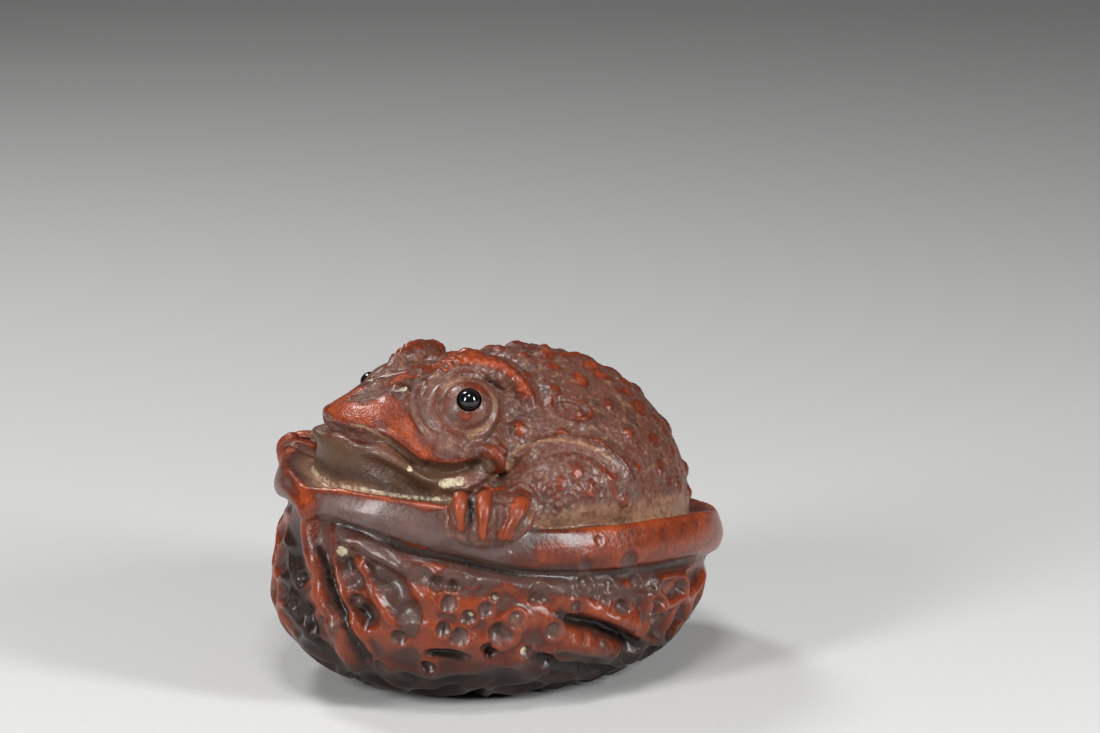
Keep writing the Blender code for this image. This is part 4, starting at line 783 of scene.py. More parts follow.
class Clay:
    """The fused form as arrays, with the tools that press into it and raise it."""

    def __init__(self, obj):
        self.mesh = obj.data
        count = len(self.mesh.vertices)
        self.places = np.empty(count * 3)
        self.mesh.vertices.foreach_get("co", self.places)
        self.places = self.places.reshape(-1, 3)
        ends = np.empty(len(self.mesh.edges) * 2, np.int64)
        self.mesh.edges.foreach_get("vertices", ends)
        self.ends = ends.reshape(-1, 2)
        normals = np.empty(count * 3)
        self.mesh.vertices.foreach_get("normal", normals)
        self.normals = self.blurred(normals.reshape(-1, 3), NORMAL_BLUR)
        self.normals /= np.linalg.norm(self.normals, axis=1)[:, None]
        faces = [tuple(face.vertices) for face in self.mesh.polygons]
        self.surface = BVHTree.FromPolygons(self.places.tolist(), faces)
        self.layers = {}

    def blurred(self, values, spread):
        """Each round moves every vertex's value half way to the mean of its neighbours'."""
        a, b = self.ends.T
        count = len(self.places)
        shared = np.bincount(a, minlength=count) + np.bincount(b, minlength=count)
        for _ in range(round(spread / VOXEL ** 2)):
            sums = [
                np.bincount(a, weights=column[b], minlength=count)
                + np.bincount(b, weights=column[a], minlength=count)
                for column in values.T
            ]
            values = 0.5 * values + 0.5 * np.stack(sums, axis=1) / shared[:, None]
        return values

    def seen(self, right, up):
        """The surface point that the view shows at this place, or the nearest one just past the outline."""
        along, back, above = view_axes()
        eye = VIEW_CENTRE + back * EYE_DISTANCE
        lift = up - VIEW_CENTRE.z * math.cos(math.radians(VIEW_ELEVATION))
        target = VIEW_CENTRE + along * right + above * lift
        start, through = stretched(*eye), stretched(*target)
        hit = self.surface.ray_cast(start, (through - start).normalized())[0]
        return np.array(hit or self.surface.find_nearest(through)[0])

    def seen_line(self, points, steps=5):
        return np.array([self.seen(right, up) for right, up in curve_through(points, steps)])

    def snapped(self, points):
        """The nearest surface point to each."""
        return np.array([self.surface.find_nearest(Vector(point))[0] for point in points])

    def near(self, line, reach):
        """The vertices within reach of a line or a point: their numbers, distance, share along and side."""
        line = np.atleast_2d(line)
        inside = ((self.places > line.min(0) - reach) & (self.places < line.max(0) + reach)).all(axis=1)
        index = np.nonzero(inside)[0]
        places, normals = self.places[index], self.normals[index]
        distance = np.linalg.norm(places - line[0], axis=1)
        share, side = np.zeros(len(index)), np.zeros(len(index))
        lengths = np.linalg.norm(np.diff(line, axis=0), axis=1)
        passed = 0.0
        for start, end, length in zip(line, line[1:], lengths):
            run = end - start
            along = np.clip((places - start) @ run / (run @ run + 1e-12), 0, 1)
            offset = places - (start + along[:, None] * run)
            away = np.linalg.norm(offset, axis=1)
            closer = away <= distance
            distance[closer] = away[closer]
            share[closer] = (passed + along[closer] * length) / lengths.sum()
            side[closer] = np.sign(np.einsum("ij,ij->i", np.cross(run, offset), normals))[closer]
            passed += length
        close = distance < reach
        return index[close], distance[close], share[close], side[close]

    def raise_by(self, index, height):
        self.places[index] += self.normals[index] * height[:, None]

    def ridge(self, line, width, height, fade=0.15):
        """A round ridge along the line, or a round groove where height is negative."""
        index, distance, share, _ = self.near(line, width)
        profile = (1 - (distance / width) ** 2) ** 2
        self.raise_by(index, height * profile * eased(0, fade, share) * eased(0, fade, 1 - share))

    def drop(self, line, width, height):
        """A teardrop that is widest near the line's start and comes to a point at its end."""
        index, distance, share, _ = self.near(line, width)
        local = width * (1 - 0.72 * eased(0.25, 1.0, share))
        dome = np.sqrt(np.clip(1 - (distance / local) ** 2, 0, 1))
        self.raise_by(index, height * dome * (1 - 0.45 * share))

    def crease(self, line, width, depth, fade=0.15):
        """A sharp groove."""
        index, distance, share, _ = self.near(line, width)
        profile = (1 - distance / width) ** 1.6
        self.raise_by(index, -depth * profile * eased(0, fade, share) * eased(0, fade, 1 - share))

    def fold(self, line, width, height, side, fade=0.2):
        """A crease with a swelling over it on one side: 1 is the left of the line seen from outside."""
        index, distance, share, found = self.near(line, width)
        away = distance / width
        swelling = height * (1 - away) ** 2 * eased(0, 0.12, away)
        drop = -0.7 * height * np.clip(1 - away / 0.4, 0, 1) ** 1.5
        profile = np.where(found * side > 0, swelling, drop)
        self.raise_by(index, profile * eased(0, fade, share) * eased(0, fade, 1 - share))

    def pit(self, centre, radius, depth, lip):
        """A dish with a raised lip."""
        index, distance, _, _ = self.near(centre, 1.9 * radius)
        away = distance / radius
        dish = -depth * np.clip(1 - away ** 2, 0, 1)
        self.raise_by(index, dish + lip * bell(away - 1.1, 0.28))

    def wart(self, centre, radius, height):
        index, distance, _, _ = self.near(centre, radius)
        self.raise_by(index, height * (1 - (distance / radius) ** 2) ** 1.5)

    def hoop(self, centre, radius, width, height):
        index, distance, _, _ = self.near(centre, radius + 2 * width)
        self.raise_by(index, height * bell(distance - radius, width))

    def tint(self, layer, line, width, strength):
        """A soft-edged stroke of a layer. A negative strength wipes the layer away."""
        index, distance, _, _ = self.near(line, width)
        share = abs(strength) * eased(0.0, 0.6, 1 - distance / width)
        values = self.layers[layer]
        if strength > 0:
            values[index] = np.maximum(values[index], share)
        else:
            values[index] *= 1 - share

    def finish(self):
        self.mesh.vertices.foreach_set("co", self.places.ravel())
        self.mesh.update()


MIRROR = np.array((-1.0, 1.0, 1.0))


def both_sides(points):
    """The carving of the side that the view shows, and its mirror image, which runs the other way."""
    return (points, 1), (points * MIRROR, -1)


def on_both(clay, tool, *strokes):
    """A tool along lines of the view, on both sides. A stroke is a line, then what the tool asks for."""
    for line, *numbers in strokes:
        for points, _ in both_sides(clay.seen_line(line)):
            tool(points, *numbers)


def spots_on_both(clay, tool, spots):
    """A tool at places of the view, on both sides. A spot is right, up, then what the tool asks for."""
    for right, up, *numbers in spots:
        for centre, _ in both_sides(clay.seen(right, up)):
            tool(centre, *numbers)


def lip_line(clay, low, high, drop, steps=40):
    """A line across the front of the mouth, from low to high degrees, this far under the lip's edge."""
    points = []
    for degrees in np.linspace(low, high, steps):
        turn = math.radians(degrees)
        height = lip_height(abs(degrees)) - drop
        points.append(stretched(LIP_WIDTH * math.sin(turn), LIP_HUB - LIP_FRONT * math.cos(turn), height))
    return clay.snapped(points)


def carve_mouth(clay):
    clay.crease(lip_line(clay, -62, 62, 0.8), 1.5, 1.25, fade=0.1)
    clay.ridge(lip_line(clay, -60, 60, -1.4), 1.7, 0.4, fade=0.15)
    on_both(clay, clay.crease, (MOUTH_CORNER, 2.0, 1.9, 0.2))
    on_both(
        clay, clay.ridge, (LOWER_LIP, 1.6, 0.95, 0.25), (LIP_ROUND_CORNER, 1.3, 0.7),
        (UNDER_LOWER_LIP, 2.2, -0.85, 0.3), (LOBE, 1.7, 0.9),
    )
    on_both(clay, clay.crease, (BEHIND_LOBE, 1.3, 0.8))


def carve_nostrils(clay):
    for points, _ in both_sides(clay.seen_line(NOSTRIL)):
        clay.ridge(points, 2.1, 0.75, fade=0.02)
        clay.ridge(points, 1.25, -1.15, fade=0.02)
    on_both(clay, clay.ridge, (SNOUT_RIDGE, 2.6, 0.45))


def carve_eyes(clay):
    """Round each eyeball: a groove, the lid's ring and a groove outside it."""
    for centre, side in both_sides(clay.seen(*EYE)):
        aim = np.array(EYE_AIM) * (side, 1, 1)
        index, _, _, _ = clay.near(centre, LID_RADIUS + 3.4)
        offset = clay.places[index] - centre
        radius = np.linalg.norm(offset - (offset @ aim)[:, None] * aim, axis=1)
        lid = LID_HEIGHT * bell(radius - LID_RADIUS, 0.55)
        inside = -LID_INNER_GROOVE * bell(radius - LID_RADIUS + LID_GROOVE_GAP, 0.5)
        outside = -LID_OUTER_GROOVE * bell(radius - LID_RADIUS - LID_GROOVE_GAP, 0.5)
        ball = EYEBALL_SWELL * np.clip(1 - (radius / (LID_RADIUS - 1.2)) ** 2, 0, 1)
        relief = lid + inside + outside + ball
        clay.raise_by(index, relief * eased(0.2, 0.6, clay.normals[index] @ aim))
    on_both(clay, clay.crease, *[(wrinkle, 0.8, 0.28) for wrinkle in EYE_WRINKLES])


def carve_brows(clay):
    on_both(clay, clay.ridge, (BROW, 2.8, 0.7, 0.2))
    on_both(clay, clay.crease, (UNDER_BROW, 1.4, 0.6), (BEHIND_BROW, 2.0, 0.7))
    spots_on_both(clay, clay.hoop, [(right, up, 0.95, 0.3, 0.22) for right, up in BROW_CELLS])


def carve_eardrums(clay):
    """Oval rings, one in the other."""
    right, _, _ = view_axes()
    for centre, side in both_sides(clay.seen(*EARDRUM)):
        index, distance, _, _ = clay.near(centre, 6.5)
        along = np.array((side * right.x, right.y, -0.22))
        along /= np.linalg.norm(along)
        across = np.cross(along, clay.normals[index[np.argmin(distance)]])
        across /= np.linalg.norm(across)
        offset = clay.places[index] - centre
        length, height = EARDRUM_RADII
        away = np.hypot(offset @ along / length, offset @ across / height)
        rings = 0.6 * bell(away - 1.0, 0.16) - 0.35 * bell(away - 0.72, 0.14)
        clay.raise_by(index, rings + 0.3 * bell(away - 0.46, 0.13))


def carve_arms(clay):
    for points, side in both_sides(clay.seen_line(ARM_FOLD)):
        clay.fold(points, 4.2, 1.35, -side)
        clay.crease(points, 1.5, 0.9)
    on_both(clay, clay.crease, (INNER_FOLD, 1.5, 0.7), (ARMPIT, 2.0, 1.0), (ELBOW, 1.8, 0.6))


def carve_hands(clay):
    on_both(clay, clay.ridge, *[(line, 1.3, -0.55, 0.1) for line in BETWEEN_CLAWS])
    on_both(clay, clay.drop, *[(line, width, 1.1) for line, width in CLAWS])


def warts_behind(clay):
    """Warts scattered over the back where the view's own don't reach: place, radius and height."""
    rng = np.random.default_rng(WART_SEED)
    hub = stretched(*WARTS_HUB)
    taken = [clay.seen(right, up) for right, up, _, _ in WARTS]
    taken += [place * MIRROR for place in taken]
    warts = []
    for _ in range(WART_TRIES):
        turn, lift = rng.uniform(-math.pi, math.pi), rng.uniform(0.0, 1.5)
        radius, height = rng.uniform(1.7, 2.8), rng.uniform(0.5, 0.85)
        place = np.array(clay.surface.ray_cast(hub, direction(turn, lift))[0])
        x, y, z = place
        over_rim = z > rim_height(turned_from_front(x, y)) + 3.0
        on_back = y > -2.0 or (abs(x) < 8.5 and y > -14.0)
        if over_rim and on_back and min(np.linalg.norm(place - other) for other in taken) > WART_SPACING:
            warts.append((place, radius, height))
            taken.append(place)
    return warts


def carve_warts(clay):
    spots_on_both(clay, clay.wart, WARTS)
    for centre, radius, height in warts_behind(clay):
        clay.wart(centre, radius, height)


def half_turned(clay, points):
    """Carving of the side that is shown, carried half way round the shell to the side that isn't."""
    moved = []
    for x, y, z in np.atleast_2d(points):
        here = turned_from_front(x, y)
        moved.append((-x, -y, z * neck_height(here + 180) / neck_height(here)))
    return clay.snapped(moved)


def carve_shell_side(clay, placed):
    """One side's ridges, folds and pits: placed turns what the view shows into points of that side."""
    strokes = [
        (clay.ridge, SEAM_RIDGE, 3.2, 1.3, 0.1),
        (clay.crease, SEAM, 2.0, 1.3, 0.1),
        (clay.ridge, BESIDE_SEAM, 1.8, 0.8),
        (clay.ridge, FRONT_VALLEY, 3.0, -1.8),
        (clay.ridge, FRONT_RIDGE, 1.7, 1.2),
        (clay.ridge, BAND_FOLD, 2.6, 0.9),
        (clay.crease, UNDER_FOLD, 1.8, 1.0),
        (clay.ridge, FRONT_HOLLOW, 4.2, -1.5, 0.3),
        (clay.ridge, HOLLOW_RIM, 2.6, 1.0),
        (clay.ridge, SHOULDER, 2.4, 0.9),
        (clay.ridge, LONG_SLOT, 2.2, -2.4, 0.2),
        *[(clay.ridge, log, 2.6, 1.5, 0.25) for log in LOGS],
        *[(clay.ridge, gully, 1.9, -1.6, 0.25) for gully in GULLIES],
    ]
    for tool, line, *numbers in strokes:
        tool(placed(clay.seen_line(line)), *numbers)
    clay.wart(placed(clay.seen(*SHELL_BUMP)).reshape(3), 1.6, 0.8)
    for right, up, radius in PITS:
        centre = placed(clay.seen(right, up)).reshape(3)
        clay.pit(centre, radius, 0.45 * radius, 0.3)


def hollow_centres(rng):
    """Scattered points over the shell's wall, none nearer the next than HOLLOW_SPACING."""
    heights = [level[0] for level in WALL]
    centres = []
    for _ in range(HOLLOW_TRIES):
        degrees = rng.uniform(0, 360)
        z = rng.uniform(-3, 34)
        front = math.cos(math.radians(degrees))
        share = np.interp(z, heights, [share + more * front for _, share, more in WALL])
        outline = rim_point(degrees)
        place = np.array((outline.x * share, outline.y * share, z * STRETCH.z * HOLLOW_FLATNESS))
        if all(np.linalg.norm(place - other) > HOLLOW_SPACING for other in centres):
            centres.append(place)
    return centres


def carve_hollows(clay):
    """Polished ridges between hollows, like a walnut's: strongest where the view's own carving isn't."""
    tree = tree_of(hollow_centres(np.random.default_rng(HOLLOW_SEED)))
    x, y, z = clay.places.T
    degrees = np.degrees(np.arctan2(x / SHELL_WIDTH, -y / SHELL_LENGTH))
    neck = np.interp(np.abs(degrees), RIM_ANGLES, RIM_HEIGHTS) * STRETCH.z - BAND_HEIGHT
    share = eased(1.0, 4.5, neck - z) * eased(0.6, 2.4, z)
    index = np.nonzero(share > 0.01)[0]
    own_carving = eased(2, 8, z[index]) * np.exp(-((np.abs(degrees[index] - 45) / 62) ** 4))
    own_carving += eased(2, 8, z[index]) * np.exp(-((np.abs(degrees[index] + 135) / 62) ** 4))
    x, y, z = clay.places[index].T
    swells = np.sin(0.62 * x + 0.35 * z + 1.0) * np.sin(0.55 * y - 0.4 * z)
    swells += 0.7 * np.sin(0.9 * z + 0.5 * y - 0.4 * x)
    depth = np.empty(len(index))
    for row, number in enumerate(index):
        place = clay.places[number] * (1, 1, HOLLOW_FLATNESS)
        sway = 1.1 * np.sin(0.42 * place[[1, 2, 0]] + 1.3) + 0.6 * np.sin(0.9 * place[[2, 0, 1]])
        (_, _, nearest), (_, _, second) = tree.find_n(place + sway, 2)
        depth[row] = second - nearest
    relief = RIDGE_HEIGHT * (0.9 - 1.7 * eased(0.2, 4.6, depth))
    relief = relief * (1 - 0.85 * own_carving) + WALL_SWELL * swells * own_carving
    clay.raise_by(index, relief * share[index])


def carve_shell(clay):
    carve_hollows(clay)
    on_both(clay, clay.ridge, (BAND_GROOVE, 2.0, -0.8, 0.05))
    carve_shell_side(clay, lambda points: points)
    carve_shell_side(clay, lambda points: half_turned(clay, points))


def right_eye_drop(clay, places):
    """How far each place sinks with the lower eye."""
    away = np.linalg.norm(places - clay.seen(*EYE) * MIRROR, axis=1)
    return RIGHT_EYE_DROP * bell(away, 1.1 * LID_RADIUS)


def bead_centres(clay):
    """Where the beads sit on the eyeballs: the left one's and the right one's."""
    left = clay.seen(*BEAD) + np.array(EYE_AIM) * EYEBALL_SWELL
    return left, left * MIRROR - (0, 0, RIGHT_EYE_DROP)


def carve(clay):
    carve_shell(clay)
    carve_mouth(clay)
    carve_nostrils(clay)
    carve_eyes(clay)
    carve_brows(clay)
    carve_eardrums(clay)
    carve_arms(clay)
    carve_hands(clay)
    carve_warts(clay)
    clay.places[:, 2] -= right_eye_drop(clay, clay.places)


# the fine work that the solid leaves out, and the regions of the clay

def seen_stroke(clay, points):
    """A line of the surface, or one point of it."""
    return clay.seen_line(points) if len(points) > 1 else clay.seen(*points[0]).reshape(1, 3)


def around(places):
    """For each place: degrees from the front, its share of the rim's outline, and the neck and rim there."""
    x, y, _ = places.T
    degrees = np.degrees(np.arctan2(x / SHELL_WIDTH, -y / SHELL_LENGTH))
    share = np.hypot(x / (SHELL_WIDTH / 2), y / (SHELL_LENGTH / 2))
    rim = np.interp(np.abs(degrees), RIM_ANGLES, RIM_HEIGHTS) * STRETCH.z
    band = BAND_HEIGHT_AT_TIP + (BAND_HEIGHT - BAND_HEIGHT_AT_TIP) * eased(6, 38, np.abs(degrees))
    return degrees, share, rim - band, rim


def regions(places):
    """How far each place belongs to the walnut's wall, the band, the ledge and the toad's skin."""
    _, share, neck, rim = around(places)
    z = places[:, 2]
    wall = eased(-0.6, 0.6, neck - z)
    near_edge = eased(0.89, 0.92, share)
    band = (1 - wall) * near_edge * eased(-0.3, 0.2, rim - z)
    ledge = (1 - wall) * (1 - band) * eased(0.78, 0.83, share) * eased(-1.6, -0.6, rim - z)
    hands = np.zeros(len(places))
    for side in (1, -1):
        for finger in FINGERS:
            for x, y, height, _ in finger:
                away = np.linalg.norm(places - np.array(stretched(side * x, y, height)), axis=1)
                hands = np.maximum(hands, 1 - eased(2.6, 4.2, away))
    band, ledge = band * (1 - hands), ledge * (1 - hands)
    return wall, band, ledge, np.clip(1 - wall - band - ledge, 0, 1)


def scattered(places, spacing, rng):
    """Places picked at random, about this far apart."""
    order = rng.permutation(len(places))
    cells = np.floor(places[order] / spacing).astype(np.int64)
    _, first = np.unique(cells, axis=0, return_index=True)
    return places[order[first]]


def nearest_two(places, centres):
    """The distance from each place to the nearest centre and to the next."""
    tree = tree_of(centres)
    return np.array([[found[2] for found in tree.find_n(place, 2)] for place in places])


def carve_skin(clay, skin):
    """Pebbles all over the toad's skin, finer on its face."""
    rng = np.random.default_rng(PEBBLE_SEED)
    index = np.nonzero(skin > 0.3)[0]
    places = clay.places[index]
    away = nearest_two(places, scattered(places, PEBBLE_SPACING, rng))
    dome = np.clip(1 - (away[:, 0] / (0.62 * PEBBLE_SPACING)) ** 2, 0, 1)
    seam = eased(0.0, 0.35, away[:, 1] - away[:, 0])
    face = eased(-14, -24, places[:, 1])
    relief = PEBBLE_HEIGHT * (0.7 * dome + 0.5 * seam - 0.5) * (1 - 0.93 * face)
    clay.raise_by(index, relief * skin[index])


def carve_cells(clay):
    for right, up, radius in FINE_CELLS + NET_CELLS:
        for centre, _ in both_sides(clay.seen(right, up)):
            clay.hoop(centre, radius, 0.22, 0.2)
            clay.pit(centre, 0.7 * radius, 0.12, 0.0)


def carve_claw_rings(clay):
    """The skin's rim round each claw's root."""
    for line, width in CLAWS:
        (right, up), _, _ = line
        reach = width + CLAW_RING_GAP
        arc = []
        for degrees in range(205, -26, -23):
            turn = math.radians(degrees)
            arc.append((right + reach * math.cos(turn), up - 0.6 + 1.2 * reach * math.sin(turn)))
        on_both(clay, clay.ridge, (arc, 0.6, 0.35, 0.1))


def carve_fine(clay):
    on_both(clay, clay.crease, *[(line, 0.6, 0.22) for line in UNDER_EYE + EYE_WRINKLES])
    on_both(clay, clay.crease, *[(line, 0.8, 0.4) for line in HAND_WRINKLES])
    spots_on_both(clay, clay.pit, [(*dent, 0.1) for dent in BAND_DENTS])
    carve_cells(clay)
    carve_claw_rings(clay)


# colour

def convexity(clay, spread):
    """How far each place stands out of the form round it, in millimetres: below nought in a hollow."""
    even = clay.blurred(clay.places, spread)
    return np.einsum("ij,ij->i", clay.places - even, clay.normals)


def add_layers(clay):
    wall, band, ledge, skin = regions(clay.places)
    turn = np.abs(around(clay.places)[0])
    fine = convexity(clay, FINE_BLUR)
    broad = convexity(clay, BROAD_BLUR)
    crest = eased(-0.30, 0.60, broad + 0.7 * fine)
    worn = skin * (0.14 + 0.40 * eased(0.2, 0.8, broad) + 0.22 * eased(0.04, 0.16, fine))
    worn += band * (0.06 + 0.45 * eased(76, 90, turn) + 0.45 * eased(0.1, 0.6, broad))
    worn += wall * (0.22 + 0.72 * crest)
    # darker in the hollows: tea in them, and painted shade
    deep = skin * 0.45 * eased(0.12, 0.5, -fine)
    deep += wall * (0.75 * eased(0.15, 0.9, -broad) + 0.25 * eased(0.15, 0.5, -fine))
    clay.layers = {
        "worn": np.clip(worn, 0, 1),
        "cream": np.zeros(len(worn)),
        "deep": np.clip(deep, 0, 1),
        "tan": 0.9 * ledge,
        "olive": np.zeros(len(worn)),
        # darker towards the shell's foot: painted shade, and tea soaked in
        "low": wall * eased(17, 2, clay.places[:, 2]),
        "pits": np.zeros(len(worn)),
        "skin": skin,
        "band": band,
        "wall": wall,
    }
    for layer, strokes in TOAD_TINTS.items():
        for width, strength, line in strokes:
            for points, _ in both_sides(seen_stroke(clay, line)):
                clay.tint(layer, points, width, strength)
    for points, _ in both_sides(clay.seen_line(OLIVE)):
        clay.tint("olive", points, 5.0, 1.0)
    for right, up, radius in RED_WARTS:
        for centre, _ in both_sides(clay.seen(right, up)):
            clay.tint("worn", centre, 1.15 * radius, 0.62)
    for centre, radius, _ in warts_behind(clay):
        clay.tint("worn", centre, 0.95 * radius, 0.6)
    for line, width in CLAWS:
        for points, _ in both_sides(clay.seen_line(line)):
            clay.tint("worn", points, 1.05 * width, 1.0)
    for placed in (lambda points: points, lambda points: half_turned(clay, points)):
        for layer, strokes in SHELL_TINTS.items():
            for width, strength, line in strokes:
                clay.tint(layer, placed(seen_stroke(clay, line)), width, strength)
        for right, up, radius in PITS:
            centre = placed(clay.seen(right, up).reshape(1, 3))
            clay.tint("pits", centre, 1.3 * radius, 1.0)
            clay.tint("deep", centre, 1.2 * radius, -0.7)


def write_layers(clay):
    for name, values in clay.layers.items():
        attribute = clay.mesh.attributes.new(name, "FLOAT", "POINT")
        attribute.data.foreach_set("value", values.astype(np.float32))


# materials

class Shading:
    """A material's node tree, with short ways to add nodes and join them."""

    def __init__(self, name):
        self.material = bpy.data.materials.new(name)
        self.material.use_nodes = True
        self.tree = self.material.node_tree
        self.shader = self.tree.nodes["Principled BSDF"]

    def node(self, kind, **settings):
        made = self.tree.nodes.new(kind)
        for name, value in settings.items():
            setattr(made, name, value)
        return made

    def feed(self, socket, value):
        if isinstance(value, bpy.types.NodeSocket):
            self.tree.links.new(value, socket)
        else:
            socket.default_value = (*value, 1.0) if isinstance(value, tuple) else value

    def feed_all(self, node, values):
        for name, value in values.items():
            self.feed(node.inputs[name], value)

    def layer(self, name):
        return self.node("ShaderNodeAttribute", attribute_name=name).outputs["Fac"]

    def noise(self, size, detail=3.0, roughness=0.55, distortion=0.0):
        """Noise from 0 to 1 whose blobs are about this many millimetres across."""
        made = self.node("ShaderNodeTexNoise")
        self.feed_all(made, {
            "Vector": self.node("ShaderNodeTexCoord").outputs["Object"],
            "Scale": 0.5 / (size * MM),
            "Detail": detail,
            "Roughness": roughness,
            "Distortion": distortion,
        })
        return made.outputs["Fac"]

    def ramp(self, value, low, high, to_low=0.0, to_high=1.0):
        """Value from low to high, turned smoothly into to_low to to_high."""
        made = self.node("ShaderNodeMapRange", interpolation_type="SMOOTHSTEP")
        self.feed_all(made, {
            "Value": value, "From Min": low, "From Max": high, "To Min": to_low, "To Max": to_high,
        })
        return made.outputs["Result"]

    def combined(self, operation, values):
        total = values[0]
        for value in values[1:]:
            made = self.node("ShaderNodeMath", operation=operation)
            self.feed(made.inputs[0], total)
            self.feed(made.inputs[1], value)
            total = made.outputs[0]
        return total

    def sum(self, *values):
        return self.combined("ADD", values)

    def times(self, *values):
        return self.combined("MULTIPLY", values)

    def mixed(self, share, first, second):
        made = self.node("ShaderNodeMix", data_type="RGBA")
        made.clamp_factor = True
        self.feed(made.inputs["Factor"], share)
        self.feed(made.inputs[6], first)
        self.feed(made.inputs[7], second)
        return made.outputs[2]


ORANGE_RED = (0.315, 0.054, 0.013)
BRICK_RED = (0.170, 0.029, 0.010)
DARK_RED = (0.062, 0.012, 0.006)
BROWN = (0.155, 0.047, 0.027)
MAUVE = (0.142, 0.073, 0.059)
GREY_BROWN = (0.062, 0.029, 0.021)
SLATE = (0.130, 0.092, 0.088)
TAN = (0.33, 0.175, 0.095)
OLIVE_BROWN = (0.085, 0.043, 0.023)
CREAM = (0.55, 0.47, 0.32)
# near-black for tea in the clay and for painted shade
TEA_AND_SHADE_BLACK = (0.010, 0.004, 0.002)
GLASS_BLACK = (0.004, 0.005, 0.006)
PAPER_DARK, PAPER_PALE = (0.51, 0.51, 0.505), (0.55, 0.55, 0.545)

# the clay's shine, and the depth of its grain in millimetres
CLAY_SPECULAR = 0.34
TEA_COAT = 0.16
TEA_COAT_ROUGHNESS = 0.12
GRIT_DEPTH = 0.2
DIMPLE_DEPTH = 0.4
GLASS_IOR = 1.52


def clay_material():
    """Red clay worn bright on what stands out, with a grey film over the rest, and tea with painted shade in
    the hollows and towards the foot.
    """
    clay = Shading("tea_polished_clay")
    patches = clay.noise(6.0, detail=4.0)
    blotches = clay.noise(1.7, detail=5.0, roughness=0.68)
    grains = clay.noise(0.42, detail=3.0, roughness=0.7)
    specks = clay.noise(0.8, detail=4.0, roughness=0.75, distortion=0.6)
    worn, cream, deep = clay.layer("worn"), clay.layer("cream"), clay.layer("deep")
    skin = clay.layer("skin")
    half_wall = clay.times(clay.layer("wall"), 0.5)
    reds = clay.ramp(clay.sum(patches, clay.times(blotches, 0.7)), 0.60, 1.10)
    red = clay.mixed(half_wall, clay.mixed(reds, BRICK_RED, ORANGE_RED), BRICK_RED)
    greys = clay.ramp(clay.sum(patches, clay.times(blotches, 0.8)), 0.62, 1.15)
    film = clay.mixed(half_wall, clay.mixed(greys, GREY_BROWN, MAUVE), GREY_BROWN)
    film = clay.mixed(clay.times(skin, clay.ramp(blotches, 0.3, 0.7), 0.8), film, BROWN)
    film = clay.mixed(clay.times(skin, clay.ramp(specks, 0.52, 0.64), 0.5), film, TAN)
    film = clay.mixed(clay.times(clay.layer("band"), clay.ramp(patches, 0.3, 0.7), 0.6), film, SLATE)
    dust = clay.ramp(clay.sum(clay.times(specks, 0.5), clay.times(grains, 0.5)), 0.32, 0.62)
    film = clay.mixed(clay.times(clay.layer("tan"), dust), film, TAN)
    film = clay.mixed(clay.layer("olive"), film, OLIVE_BROWN)
    mottle = (clay.times(blotches, 0.75), clay.times(patches, 0.5), clay.times(grains, 0.45))
    edge = clay.sum(worn, *mottle, -0.87)
    colour = clay.mixed(clay.ramp(edge, 0.05, 0.45), film, DARK_RED)
    colour = clay.mixed(clay.ramp(edge, 0.15, 1.05), colour, red)
    floors = clay.mixed(clay.ramp(blotches, 0.35, 0.65), GREY_BROWN, MAUVE)
    colour = clay.mixed(clay.times(clay.layer("pits"), 0.85), colour, floors)
    # painted shade, with tea soaked in, darker towards the foot
    low_soak_and_shade = clay.sum(clay.times(clay.layer("low"), 1.1), clay.times(blotches, 0.5), -0.25)
    colour = clay.mixed(clay.times(clay.ramp(low_soak_and_shade, 0.0, 0.9), 0.95), colour, TEA_AND_SHADE_BLACK)
    # painted shade, with tea, in the hollows
    tea_and_shade = clay.ramp(clay.sum(deep, clay.times(grains, 0.4), -0.2), 0.05, 0.9)
    colour = clay.mixed(clay.times(tea_and_shade, 0.94), colour, TEA_AND_SHADE_BLACK)
    sprinkle = clay.sum(clay.times(specks, 1.0), clay.times(grains, 1.0), -1.05)
    crumbs = clay.ramp(clay.sum(cream, sprinkle), 0.30, 0.85)
    colour = clay.mixed(crumbs, colour, CREAM)
    clay.feed(clay.shader.inputs["Base Color"], colour)
    polish = clay.ramp(worn, 0.1, 0.9, 0.36, 0.28)
    dulled = clay.times(crumbs, 0.3)
    dried = clay.times(clay.layer("low"), 0.12)
    clay.feed(clay.shader.inputs["Roughness"], clay.sum(polish, dulled, dried, clay.times(grains, 0.2), -0.1))
    grit = clay.node("ShaderNodeBump")
    strength = clay.sum(clay.times(skin, 0.5), 0.5)
    clay.feed_all(grit, {"Distance": GRIT_DEPTH * MM, "Strength": strength, "Height": grains})
    dimples = clay.node("ShaderNodeBump")
    clay.feed_all(dimples, {
        "Distance": DIMPLE_DEPTH * MM,
        "Strength": 0.5,
        "Height": blotches,
        "Normal": grit.outputs["Normal"],
    })
    clay.feed_all(clay.shader, {
        "Specular IOR Level": CLAY_SPECULAR,
        "Coat Weight": TEA_COAT,
        "Coat Roughness": TEA_COAT_ROUGHNESS,
        "Normal": dimples.outputs["Normal"],
    })
    return clay.material


def bead_material():
    glass = Shading("black_glass")
    smears = glass.noise(0.8, detail=2.0)
    glass.feed_all(glass.shader, {
        "Base Color": GLASS_BLACK,
        "Roughness": glass.ramp(smears, 0.3, 0.7, 0.03, 0.09),
        "IOR": GLASS_IOR,
        "Coat Weight": 0.5,
        "Coat Roughness": 0.03,
    })
    return glass.material


def floor_material():
    paper = Shading("pale_paper")
    grain = paper.noise(0.6, detail=2.0)
    colour = paper.mixed(grain, PAPER_DARK, PAPER_PALE)
    paper.feed_all(paper.shader, {"Base Color": colour, "Roughness": 0.85, "Specular IOR Level": 0.2})
    return paper.material


# objects

